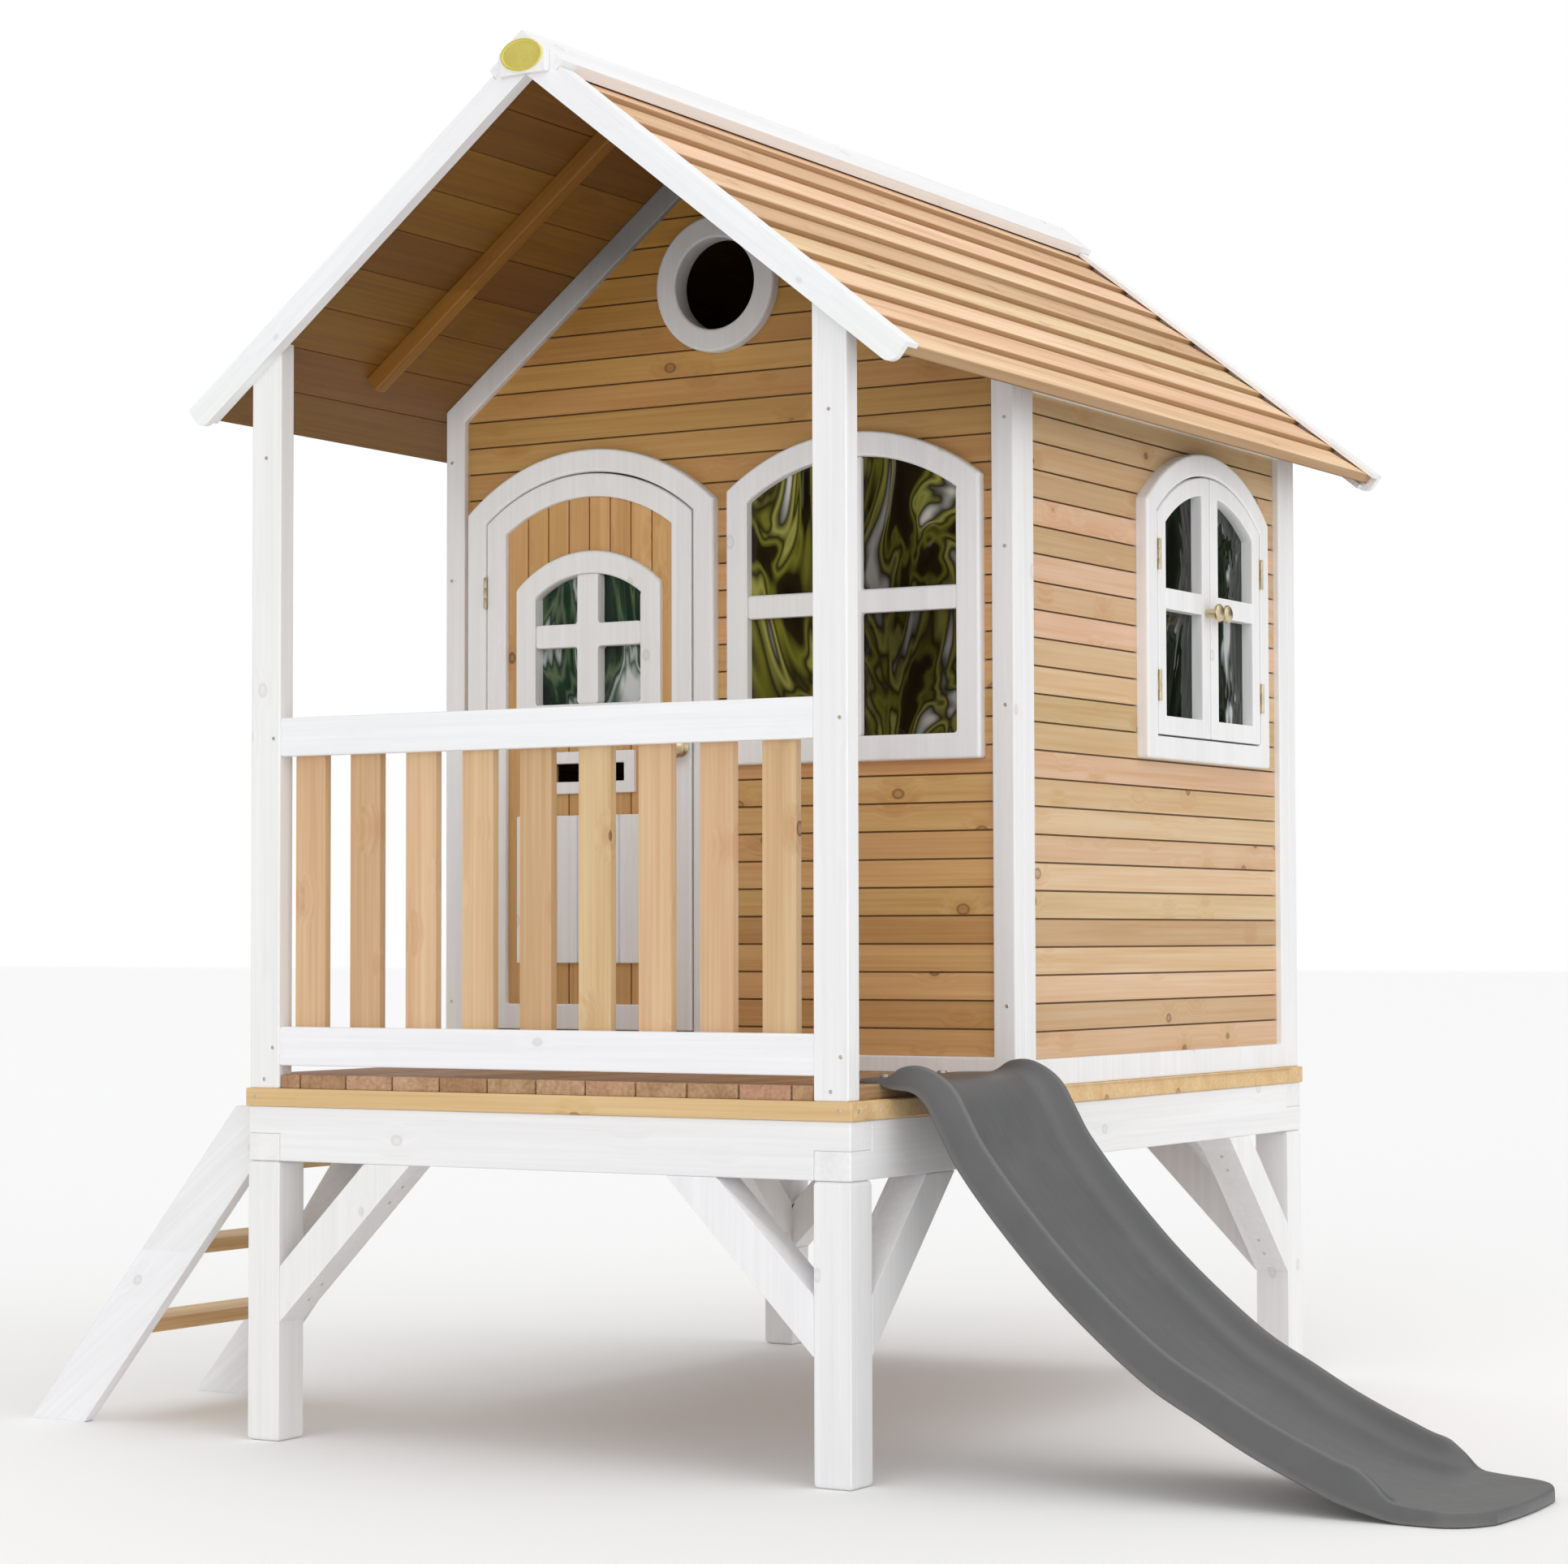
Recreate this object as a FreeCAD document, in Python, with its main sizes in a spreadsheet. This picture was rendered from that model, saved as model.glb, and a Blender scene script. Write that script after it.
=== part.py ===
import FreeCAD, Part
import math
import os
import Sketcher

# A raised timber playhouse: a platform on four legs, a porch with rails, a ladder on the left,
# a plastic slide on the right, and a small house with a hinged door and casement windows.
# Working frame: x = 0 at the platform's left edge, y = 0 at its front edge, z = 0 at the ground.
# Every sub-part is then shifted so that the origin is at the bottom centre of the whole object.

os.makedirs("parts", exist_ok=True)
doc = FreeCAD.newDocument("playhouse")
sheet = doc.addObject("Spreadsheet::Sheet", "Sizes")


class Size:
    """A number together with the expression that gives it in the document."""

    def __init__(self, text, value):
        self.text = text
        self.value = float(value)

    def join(self, other, sign, value, swap=False):
        other = as_size(other)
        first, second = (other, self) if swap else (self, other)
        return Size(f"({first.text} {sign} {second.text})", value)

    def __add__(self, other):
        return self.join(other, "+", self.value + as_size(other).value)

    def __radd__(self, other):
        return self.join(other, "+", self.value + as_size(other).value, True)

    def __sub__(self, other):
        return self.join(other, "-", self.value - as_size(other).value)

    def __rsub__(self, other):
        return self.join(other, "-", as_size(other).value - self.value, True)

    def __mul__(self, other):
        return self.join(other, "*", self.value * as_size(other).value)

    def __rmul__(self, other):
        return self.join(other, "*", self.value * as_size(other).value, True)

    def __truediv__(self, other):
        return self.join(other, "/", self.value / as_size(other).value)

    def __rtruediv__(self, other):
        return self.join(other, "/", as_size(other).value / self.value, True)


def as_size(thing):
    return thing if isinstance(thing, Size) else Size(f"{thing:.6f}", thing)


def root(thing):
    return Size(f"sqrt({thing.text})", math.sqrt(thing.value))


def round_up(thing):
    return Size(f"ceil({thing.text})", math.ceil(thing.value))


row = 0


def size(name, value, note):
    """Write one driving dimension into the sheet and return it."""
    global row
    row += 1
    sheet.set(f"A{row}", str(value))
    sheet.setAlias(f"A{row}", name)
    sheet.set(f"B{row}", note)
    return Size(f"Sizes.{name}", value)


def named(name, thing, note):
    """Write a worked-out dimension into the sheet, so that expressions stay short."""
    global row
    row += 1
    sheet.set(f"A{row}", "=" + thing.text.replace("Sizes.", ""))
    sheet.setAlias(f"A{row}", name)
    sheet.set(f"B{row}", note)
    return Size(f"Sizes.{name}", thing.value)


# ---------------------------------------------------------------- driving dimensions
platform_width = size("platform_width", 1200, "floor frame, left to right")
platform_depth = size("platform_depth", 1788, "floor frame, front to back")
frame_lip = size("frame_lip", 4, "floor frame proud of the beams")
leg_side = size("leg_side", 67, "square legs, beams and braces")
leg_length = size("leg_length", 477, "ground to the underside of the beams")
beam_height = size("beam_height", 93, "beam depth")
brace_reach = size("brace_reach", 180, "clear run from a leg to its brace")
frame_thickness = size("frame_thickness", 31, "floor frame boards")
frame_board = size("frame_board", 70, "floor frame board width")
joist_width = size("joist_width", 45, "floor joists")
joist_count = size("joist_count", 3, "floor joists between the side beams")
deck_thickness = size("deck_thickness", 24, "deck boards")
deck_board = size("deck_board", 95, "deck board width")
deck_gap = size("deck_gap", 2.5, "gap between deck boards")
deck_setback = size("deck_setback", 6, "deck boards behind the frame's edge")

house_front = size("house_front", 570, "front wall's face, from the platform's front edge")
wall_inset = size("wall_inset", 7, "walls and posts inside the frame's edge")
wall_thickness = size("wall_thickness", 35, "wall frames")
wall_member = size("wall_member", 42, "wall frame stiles and top rails")
sill_member = size("sill_member", 28, "front wall's bottom rail")
side_sill = size("side_sill", 46, "side and rear walls' bottom rails")
board_recess = size("board_recess", 12, "cladding behind the wall frame's face")
board_thickness = size("board_thickness", 16, "cladding boards")
board_pitch = size("board_pitch", 48.4, "cladding boards, one to the next")
board_groove = size("board_groove", 3, "groove between two cladding boards")
board_lap = size("board_lap", 7, "how far one cladding board laps the next")
lap_clearance = size("lap_clearance", 0.2, "air in the cladding's laps")

post_width = size("post_width", 63, "porch posts, seen from the front")
post_depth = size("post_depth", 36, "porch posts, front to back")
post_setback = size("post_setback", 3, "porch posts behind the frame's edge")
rail_setback = size("rail_setback", 2, "porch rails behind the posts' faces")
rail_height = size("rail_height", 66, "porch rails")
rail_thickness = size("rail_thickness", 20, "porch rails")
top_rail_rise = size("top_rail_rise", 544, "deck to the underside of the top rail")
bottom_rail_rise = size("bottom_rail_rise", 15, "deck to the underside of the bottom rail")
baluster_width = size("baluster_width", 63, "balusters")
baluster_thickness = size("baluster_thickness", 16, "balusters")
baluster_count = size("baluster_count", 9, "balusters")
baluster_margin = size("baluster_margin", 12, "balusters' ends inside the rails' edges")
baluster_start = size("baluster_start", 18, "left post to the first baluster")
baluster_end = size("baluster_end", 43, "last baluster to the right post")

wall_height = size("wall_height", 1235, "floor frame to the roof's underside at the side walls' faces")
roof_run = size("roof_run", 714, "roof slope, level part of its triangle")
roof_rise = size("roof_rise", 561, "roof slope, upright part of its triangle")
eave_overhang = size("eave_overhang", 97.5, "barge boards' lower ends outside the platform")
barge_drop = size("barge_drop", 17, "barge boards below the roof's underside")
barge_face = size("barge_face", 45, "barge boards' face")
barge_plate = size("barge_plate", 14, "barge boards' upright part")
barge_depth = size("barge_depth", 41, "barge boards, front to back")
barge_sole = size("barge_sole", 10, "barge boards' lower flange")
barge_sole_depth = size("barge_sole_depth", 25, "barge boards' lower flange from their face")
barge_end_round = size("barge_end_round", 20, "round on a barge board's lower end")
roof_front_lap = size("roof_front_lap", 22, "barge boards in front of the platform")
roof_rear_lap = size("roof_rear_lap", 157, "barge boards behind the platform")
roof_board_count = size("roof_board_count", 9, "roof boards on each slope")
roof_board_gap = size("roof_board_gap", 1, "gap between roof boards")
roof_board_thin = size("roof_board_thin", 11, "roof boards at their upper edge")
roof_board_thick = size("roof_board_thick", 20, "roof boards at their lower edge")
eave_setback = size("eave_setback", 12, "roof boards short of the barge boards' ends")
rafter_side = size("rafter_side", 30, "porch rafters")
rafter_place = size("rafter_place", 300, "porch rafters' centre behind the front edge")
rafter_inset = size("rafter_inset", 38, "porch rafters' lower ends inside the platform's edge")
cap_board = size("cap_board", 62, "ridge cap boards along the slope")
cap_thickness = size("cap_thickness", 20, "ridge cap boards")
cap_gap = size("cap_gap", 1, "gap between the ridge cap and the barge boards")
block_width = size("block_width", 94, "block at the ridge's front end")
block_height = size("block_height", 74, "block at the ridge's front end")
block_thickness = size("block_thickness", 12, "block at the ridge's front end")
plaque_width = size("plaque_width", 82, "plain oval plaque")
plaque_height = size("plaque_height", 54, "plain oval plaque")
plaque_thickness = size("plaque_thickness", 4, "plain oval plaque")
plaque_foot = size("plaque_foot", 4, "block's foot to the plaque")

surround_left = size("surround_left", 61, "door surround from the platform's left edge")
surround_width = size("surround_width", 535, "door surround")
surround_top = size("surround_top", 1120, "deck to the top of the door surround")
surround_radius = size("surround_radius", 391, "arch of the door surround")
surround_member = size("surround_member", 42, "door surround")
door_sill = size("door_sill", 63, "door surround's bottom rail")
trim_proud = size("trim_proud", 8, "door surround and window frames proud of the wall")
door_clearance = size("door_clearance", 3, "gap round the door leaf")
door_thickness = size("door_thickness", 28, "door leaf")
door_member = size("door_member", 42, "door leaf's frame")
door_bottom_rail = size("door_bottom_rail", 46, "door leaf's bottom rail")
door_board_pitch = size("door_board_pitch", 45, "door boards, one to the next")
door_board_thickness = size("door_board_thickness", 12, "door boards")
light_margin = size("light_margin", 66, "door leaf's edge to its window")
light_foot = size("light_foot", 548, "door leaf's bottom to its window")
light_height = size("light_height", 321, "door window")
light_radius = size("light_radius", 225, "arch of the door window")
light_member = size("light_member", 42, "door window's frame")
light_upright_bar = size("light_upright_bar", 45, "door window's upright bar")
light_level_bar = size("light_level_bar", 42, "door window's level bar")
light_bar_thickness = size("light_bar_thickness", 25, "door window's bars")
light_bar_rise = size("light_bar_rise", 167, "door window's foot to its level bar")
pane_thickness = size("pane_thickness", 3, "clear panes")
letter_width = size("letter_width", 200, "letter plate")
letter_height = size("letter_height", 77, "letter plate")
letter_foot = size("letter_foot", 427, "door leaf's bottom to the letter plate")
letter_border = size("letter_border", 22, "letter plate's border")
overlay = size("overlay", 8, "letter plate and lower panel on the door boards")
overlay_inset = size("overlay_inset", 2, "letter plate and lower panel behind the leaf's face")
panel_foot = size("panel_foot", 120, "door leaf's bottom to its lower panel")
panel_height = size("panel_height", 268, "door's lower panel")
panel_groove = size("panel_groove", 4, "grooves of the door's lower panel")
panel_strips = size("panel_strips", 7, "strips of the door's lower panel")
knob_height = size("knob_height", 505, "door leaf's bottom to the knob")
knob_radius = size("knob_radius", 17, "knobs")
knob_length = size("knob_length", 34, "knobs, from the face that holds them")
stem_radius = size("stem_radius", 8, "knob stems")
door_hinge_low = size("door_hinge_low", 100, "door leaf's bottom to the lower hinge")
door_hinge_high = size("door_hinge_high", 773, "door leaf's bottom to the upper hinge")

window_left = size("window_left", 624, "front window from the platform's left edge")
window_width = size("window_width", 507, "front window")
window_foot = size("window_foot", 536, "deck to the foot of the front window")
window_height = size("window_height", 576, "front window")
window_radius = size("window_radius", 406, "arch of the front window")
window_member = size("window_member", 44, "front window's frame")
window_bar = size("window_bar", 42, "front window's bars")
window_bar_thickness = size("window_bar_thickness", 15, "front window's bars")
window_bar_inset = size("window_bar_inset", 2, "front window's bars behind its face")
window_bar_drop = size("window_bar_drop", 10, "front window's level bar below its middle")
porthole_radius = size("porthole_radius", 123, "porthole ring, outside")
porthole_hole = size("porthole_hole", 82, "porthole ring, inside")
porthole_drop = size("porthole_drop", 279, "ridge to the porthole's centre")

side_window_front = size("side_window_front", 475, "front wall's back to a side window")
side_window_width = size("side_window_width", 550, "side windows' surrounds")
side_window_foot = size("side_window_foot", 580, "floor frame to a side window's foot")
side_window_height = size("side_window_height", 580, "side windows")
side_window_radius = size("side_window_radius", 404, "arch of a side window")
side_window_member = size("side_window_member", 42, "side windows' surrounds")
side_trim_proud = size("side_trim_proud", 11, "side windows proud of the wall")
casement_clearance = size("casement_clearance", 3, "gap round a casement")
casement_meeting = size("casement_meeting", 4, "gap between two casements")
casement_member = size("casement_member", 34, "casement frames")
casement_thickness = size("casement_thickness", 26, "casement frames")
casement_knob_rise = size("casement_knob_rise", 235, "casement's foot to its knob")
casement_bar_rise = size("casement_bar_rise", 231, "casement's foot to the underside of its bar")
casement_bar = size("casement_bar", 38, "casement bars")
casement_bar_thickness = size("casement_bar_thickness", 23, "casement bars")
casement_hinge_low = size("casement_hinge_low", 60, "casement's foot to its lower hinge")
casement_hinge_high = size("casement_hinge_high", 300, "casement's foot to its upper hinge")

hinge_height = size("hinge_height", 57, "hinges")
hinge_plate = size("hinge_plate", 18, "hinge plates, from front to back")
hinge_sheet = size("hinge_sheet", 1.2, "hinge plates' thickness")
knuckle_radius = size("knuckle_radius", 3, "hinge knuckles")
knuckle_stand = size("knuckle_stand", 3.5, "hinge axis in front of the faces that it joins")
knuckle_gap = size("knuckle_gap", 0.3, "air between hinge knuckles")
pin_radius = size("pin_radius", 1.5, "hinge pins")
pin_clearance = size("pin_clearance", 0.05, "air round a hinge pin")
cut_over = size("cut_over", 1, "cutters past the faces that they open")

ladder_front = size("ladder_front", 35, "ladder from the platform's front edge")
ladder_width = size("ladder_width", 480, "ladder, front to back")
ladder_reach = size("ladder_reach", 518, "ladder's foot from the platform's left edge")
ladder_lean = size("ladder_lean", 467, "ladder's lean up to its top")
ladder_top_drop = size("ladder_top_drop", 3, "floor frame to the ladder's top")
stringer_foot = size("stringer_foot", 126, "ladder stringers, level at the ground")
stringer_thickness = size("stringer_thickness", 25, "ladder stringers")
tread_count = size("tread_count", 3, "ladder treads")
tread_first = size("tread_first", 185, "ground to the first tread's top")
tread_rise = size("tread_rise", 145, "one tread to the next")
tread_thickness = size("tread_thickness", 23, "ladder treads")
tread_depth = size("tread_depth", 112, "ladder treads, front to back")
tread_nose = size("tread_nose", 8, "treads in front of the stringers")

slide_front = size("slide_front", 118, "slide from the platform's front edge")
slide_width = size("slide_width", 390, "slide")
slide_reach = size("slide_reach", 980, "slide's end from the platform's right edge")
slide_lip = size("slide_lip", 78, "slide's top lip on the deck")
slide_lip_thickness = size("slide_lip_thickness", 7, "slide's top lip")
slide_lip_clearance = size("slide_lip_clearance", 12, "slide's overhang starts inside the platform's edge")
slide_hump = size("slide_hump", 35, "slide's rims above the deck at the top")
slide_hump_in = size("slide_hump_in", 4, "humps' start inside the platform's edge")
slide_hump_out = size("slide_hump_out", 117, "humps' end from the platform's edge")
slide_crest_out = size("slide_crest_out", 50, "bed's level top from the platform's edge")
slide_rim = size("slide_rim", 16, "slide's rims")
slide_channel = size("slide_channel", 42, "slide's bed below its rims")
slide_skirt = size("slide_skirt", 57, "slide's skirt below its rims")
slide_bend_out = size("slide_bend_out", 200, "straight slope's end from the platform's edge")
slide_bend_drop = size("slide_bend_drop", 150, "straight slope's end below the deck")
slide_curve = size("slide_curve", 1880, "long curve of the slide")
slide_foot_out = size("slide_foot_out", 815, "rims' lower ends from the platform's edge")
slide_end = size("slide_end", 24, "slide's end above the ground")
slide_step = size("slide_step", 12, "rims' lower ends above the slide's end")
slide_run = size("slide_run", 70, "rims' lower ends to the level run-out")
slide_corner = size("slide_corner", 60, "round corners of the slide's end")
bolt_radius = size("bolt_radius", 8, "slide bolts' heads")
bolt_head = size("bolt_head", 4, "slide bolts' heads")

# ---------------------------------------------------------------- worked-out levels and places
beam_top = named("beam_top", leg_length + beam_height, "top of the beams")
frame_top = named("frame_top", beam_top + frame_thickness, "top of the floor frame")
deck_top = named("deck_top", frame_top + deck_thickness, "top of the deck")
leg_near = named("leg_near", frame_lip + leg_side, "inner face of the left and front legs")
leg_right = named("leg_right", platform_width - leg_near, "inner face of the right legs")
leg_rear = named("leg_rear", platform_depth - leg_near, "inner face of the rear legs")
middle = named("middle", platform_width / 2, "the ridge's line")
wall_right = named("wall_right", platform_width - wall_inset, "right wall's face")
wall_rear = named("wall_rear", platform_depth - wall_inset, "rear wall's face")
wall_back = named("wall_back", house_front + wall_thickness, "front wall's back")
rear_inner = named("rear_inner", wall_rear - wall_thickness, "rear wall's inner face")
slope_long = named("slope_long", root(roof_run * roof_run + roof_rise * roof_rise), "slope's triangle")
slope_cos = named("slope_cos", roof_run / slope_long, "level share of the slope")
slope_sin = named("slope_sin", roof_rise / slope_long, "upright share of the slope")
ridge_height = named("ridge_height", frame_top + wall_height + (middle - wall_inset) * slope_sin / slope_cos,
                     "ground to the roof's underside at the ridge")
barge_length = named("barge_length", (middle + eave_overhang) / slope_cos, "barge boards along the slope")
rafter_length = named("rafter_length", (middle - rafter_inset) / slope_cos, "porch rafters along the slope")
eave_length = named("eave_length", barge_length - eave_setback, "roof boards down the slope")
roof_front = named("roof_front", 0 - roof_front_lap, "front barge boards' face")
roof_rear = named("roof_rear", platform_depth + roof_rear_lap, "rear barge boards' face")
cap_top = named("cap_top", ridge_height + (roof_board_thick + cap_thickness) / slope_cos, "ridge cap's top")
x_lowest = named("x_lowest", 0 - ladder_reach, "ladder's foot")
x_highest = named("x_highest", platform_width + slide_reach, "slide's end")
y_lowest = named("y_lowest", roof_front - block_thickness - plaque_thickness, "plaque's face")
shift_x = named("shift_x", 0 - (x_lowest + x_highest) / 2, "shift to the object's centre")
shift_y = named("shift_y", 0 - (y_lowest + roof_rear) / 2, "shift to the object's centre")
doc.recompute()

PLANES = {"XY": "XY_Plane", "XZ": "XZ_Plane", "YZ": "YZ_Plane"}
made = []


# ---------------------------------------------------------------- helpers
def bind(thing, prop, value):
    thing.setExpression(prop, as_size(value).text)


def unique(name):
    """A name for an inner piece, which never equals a sub-part's label."""
    return name.replace(" ", "_") + "_piece"


def box(name, x, y, z, long_x, long_y, long_z):
    """A block with its low corner at x, y, z."""
    block = doc.addObject("Part::Box", unique(name))
    for prop, value in (("Length", long_x), ("Width", long_y), ("Height", long_z)):
        bind(block, prop, value)
    for axis, value in (("x", x), ("y", y), ("z", z)):
        bind(block, f"Placement.Base.{axis}", value)
    return block


def rod(name, x, y, z, radius, length, direction="Z"):
    """A cylinder that starts at x, y, z and runs along an axis, which may be turned round."""
    cylinder = doc.addObject("Part::Cylinder", unique(name))
    bind(cylinder, "Radius", radius)
    bind(cylinder, "Height", length)
    turns = {"Z": (0, 0, 1), "X": (1, 0, 0), "-X": (-1, 0, 0), "-Y": (0, -1, 0)}
    aim = FreeCAD.Rotation(FreeCAD.Vector(0, 0, 1), FreeCAD.Vector(*turns[direction]))
    cylinder.Placement = FreeCAD.Placement(FreeCAD.Vector(0, 0, 0), aim)
    for axis, value in (("x", x), ("y", y), ("z", z)):
        bind(cylinder, f"Placement.Base.{axis}", value)
    return cylinder


def boolean(kind, name, base, tool):
    made_of = doc.addObject(f"Part::{kind}", unique(name))
    made_of.Base = base
    made_of.Tool = tool
    return made_of


def part(name, *pieces):
    """One named sub-part: its pieces, shifted to the object's own origin."""
    group = doc.addObject("Part::Compound", unique(name + " part"))
    group.Links = list(pieces)
    group.Label = name
    bind(group, "Placement.Base.x", shift_x)
    bind(group, "Placement.Base.y", shift_y)
    made.append(group)
    return group


def vector(point):
    return FreeCAD.Vector(as_size(point[0]).value, as_size(point[1]).value, 0)


def pin_down(sketch, geometry, end, point):
    """Tie one end of a sketch curve to its place."""
    for kind, value in (("DistanceX", as_size(point[0])), ("DistanceY", as_size(point[1]))):
        place = sketch.addConstraint(Sketcher.Constraint(kind, -1, 1, geometry, end, value.value))
        sketch.setExpression(f"Constraints[{place}]", value.text)


def fix_radius(sketch, geometry, radius):
    place = sketch.addConstraint(Sketcher.Constraint("Radius", geometry, radius.value))
    sketch.setExpression(f"Constraints[{place}]", radius.text)


def draw_arc(sketch, start, end, radius, outward):
    """Add the shorter arc from start to end. Outward arcs bulge to the right of the path."""
    chord = end - start
    side = FreeCAD.Vector(chord.y, -chord.x, 0).normalize()
    if not outward:
        side = side * -1
    rise = math.sqrt(radius.value**2 - (chord.Length / 2) ** 2)
    centre = (start + end) * 0.5 - side * rise
    first, last = (start, end) if outward else (end, start)
    angles = [math.atan2(p.y - centre.y, p.x - centre.x) for p in (first, last)]
    circle = Part.Circle(centre, FreeCAD.Vector(0, 0, 1), radius.value)
    return sketch.addGeometry(Part.ArcOfCircle(circle, angles[0], angles[1]), False)


def draw_loop(sketch, loop):
    """Draw a closed outline. A point with a radius starts an arc: positive outward, negative inward."""
    if loop[0] == "circle":
        circle = Part.Circle(vector(loop[1:3]), FreeCAD.Vector(0, 0, 1), loop[3].value)
        ring = sketch.addGeometry(circle, False)
        pin_down(sketch, ring, 3, loop[1:3])
        fix_radius(sketch, ring, loop[3])
        return
    ends = []
    for i, point in enumerate(loop):
        start = vector(point)
        end = vector(loop[(i + 1) % len(loop)])
        if len(point) == 2:
            curve = sketch.addGeometry(Part.LineSegment(start, end), False)
            ends.append((curve, 1, 2))
        else:
            outward = point[3] if len(point) > 3 else True
            curve = draw_arc(sketch, start, end, point[2], outward)
            ends.append((curve, 1, 2) if outward else (curve, 2, 1))
    for i, point in enumerate(loop):
        before = ends[i - 1]
        here = ends[i]
        sketch.addConstraint(Sketcher.Constraint("Coincident", before[0], before[2], here[0], here[1]))
        pin_down(sketch, here[0], here[1], point)
        if len(point) > 2:
            fix_radius(sketch, here[0], point[2])


def new_body(name, plane, start, loops):
    """A body with one sketch, parallel to a base plane at the distance start from it."""
    body = doc.addObject("PartDesign::Body", unique(name))
    body.AllowCompound = True
    sketch = body.newObject("Sketcher::SketchObject", unique(name + " outline"))
    base = [f for f in body.Origin.OriginFeatures if f.Role == PLANES[plane]][0]
    sketch.AttachmentSupport = [(base, "")]
    sketch.MapMode = "FlatFace"
    # the XZ plane faces backwards, so its offset is measured the other way
    bind(sketch, "AttachmentOffset.Base.z", (0 - as_size(start)) if plane == "XZ" else start)
    for loop in loops:
        draw_loop(sketch, loop)
    return body, sketch


def prism(name, plane, start, length, *loops):
    """An outline, with any holes, carried from start by length along the plane's axis."""
    body, sketch = new_body(name, plane, start, loops)
    pad = body.newObject("PartDesign::Pad", unique(name + " pad"))
    pad.Profile = sketch
    bind(pad, "Length", length)
    pad.Reversed = plane == "XZ"
    return body


def lapped_boards(name, plane, start, length, loop, pitch, count, along):
    """A row of equal boards: one profile, carried along and then repeated at the pitch."""
    body, sketch = new_body(name, plane, start, [loop])
    pad = body.newObject("PartDesign::Pad", unique(name + " pad"))
    pad.Profile = sketch
    bind(pad, "Length", length)
    pad.Reversed = plane == "XZ"
    doc.recompute()
    pattern = body.newObject("PartDesign::LinearPattern", unique(name + " row"))
    pattern.Originals = [pad]
    pattern.Direction = (sketch, [along])
    pattern.Mode = "Spacing"
    bind(pattern, "Offset", pitch)
    bind(pattern, "Occurrences", count)
    body.Tip = pattern
    return body


def lap_profile(face, back, foot, pitch):
    """A lapped board's section, upright: face and back are its two sides, foot its lower edge."""
    half = (face + back) / 2
    inner = half + (back - face) * (lap_clearance / board_thickness)
    front_top = foot + pitch - board_groove
    back_foot = foot + board_lap
    back_top = back_foot + pitch - lap_clearance
    return [
        (face, foot), (half, foot), (half, back_foot + lap_clearance), (inner, back_foot),
        (back, back_foot), (back, back_top), (inner, back_top), (inner, front_top), (face, front_top),
    ]


def arch_spring(low, high, apex, radius):
    """Height at which an arch of this radius meets its uprights."""
    half = (high - low) / 2
    return apex - radius + root(radius * radius - half * half)


def arch(low, high, foot, apex, radius):
    """A door or window outline: straight sides under a shallow arch."""
    spring = arch_spring(low, high, apex, radius)
    return [(low, foot), (high, foot), (high, spring, radius), (low, spring)]


def underside(x_place, drop=0):
    """Height of the roof's underside at a place left of or on the ridge."""
    return ridge_height - (middle - x_place) * slope_sin / slope_cos - drop


def on_slope(side, along, above):
    """A point on a roof slope: along it from the ridge, and above its underside."""
    out = along * slope_cos + above * slope_sin
    x_place = middle - out if side == "left" else middle + out
    return x_place, ridge_height - along * slope_sin + above * slope_cos


def at_ridge(above):
    return middle, ridge_height + above / slope_cos


def other_side(side, x_place, length=0):
    """Mirror a distance from the left edge when the side is the right one."""
    return x_place if side == "left" else platform_width - x_place - length


def mirrored(side, loop):
    """Turn a left-hand outline into a right-hand one, keeping its direction of travel."""
    if side == "left":
        return loop
    return [(platform_width - x_place, z_place) for x_place, z_place in reversed(loop)]


SIDES = ("left", "right")
ENDS = ("front", "rear")


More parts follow.
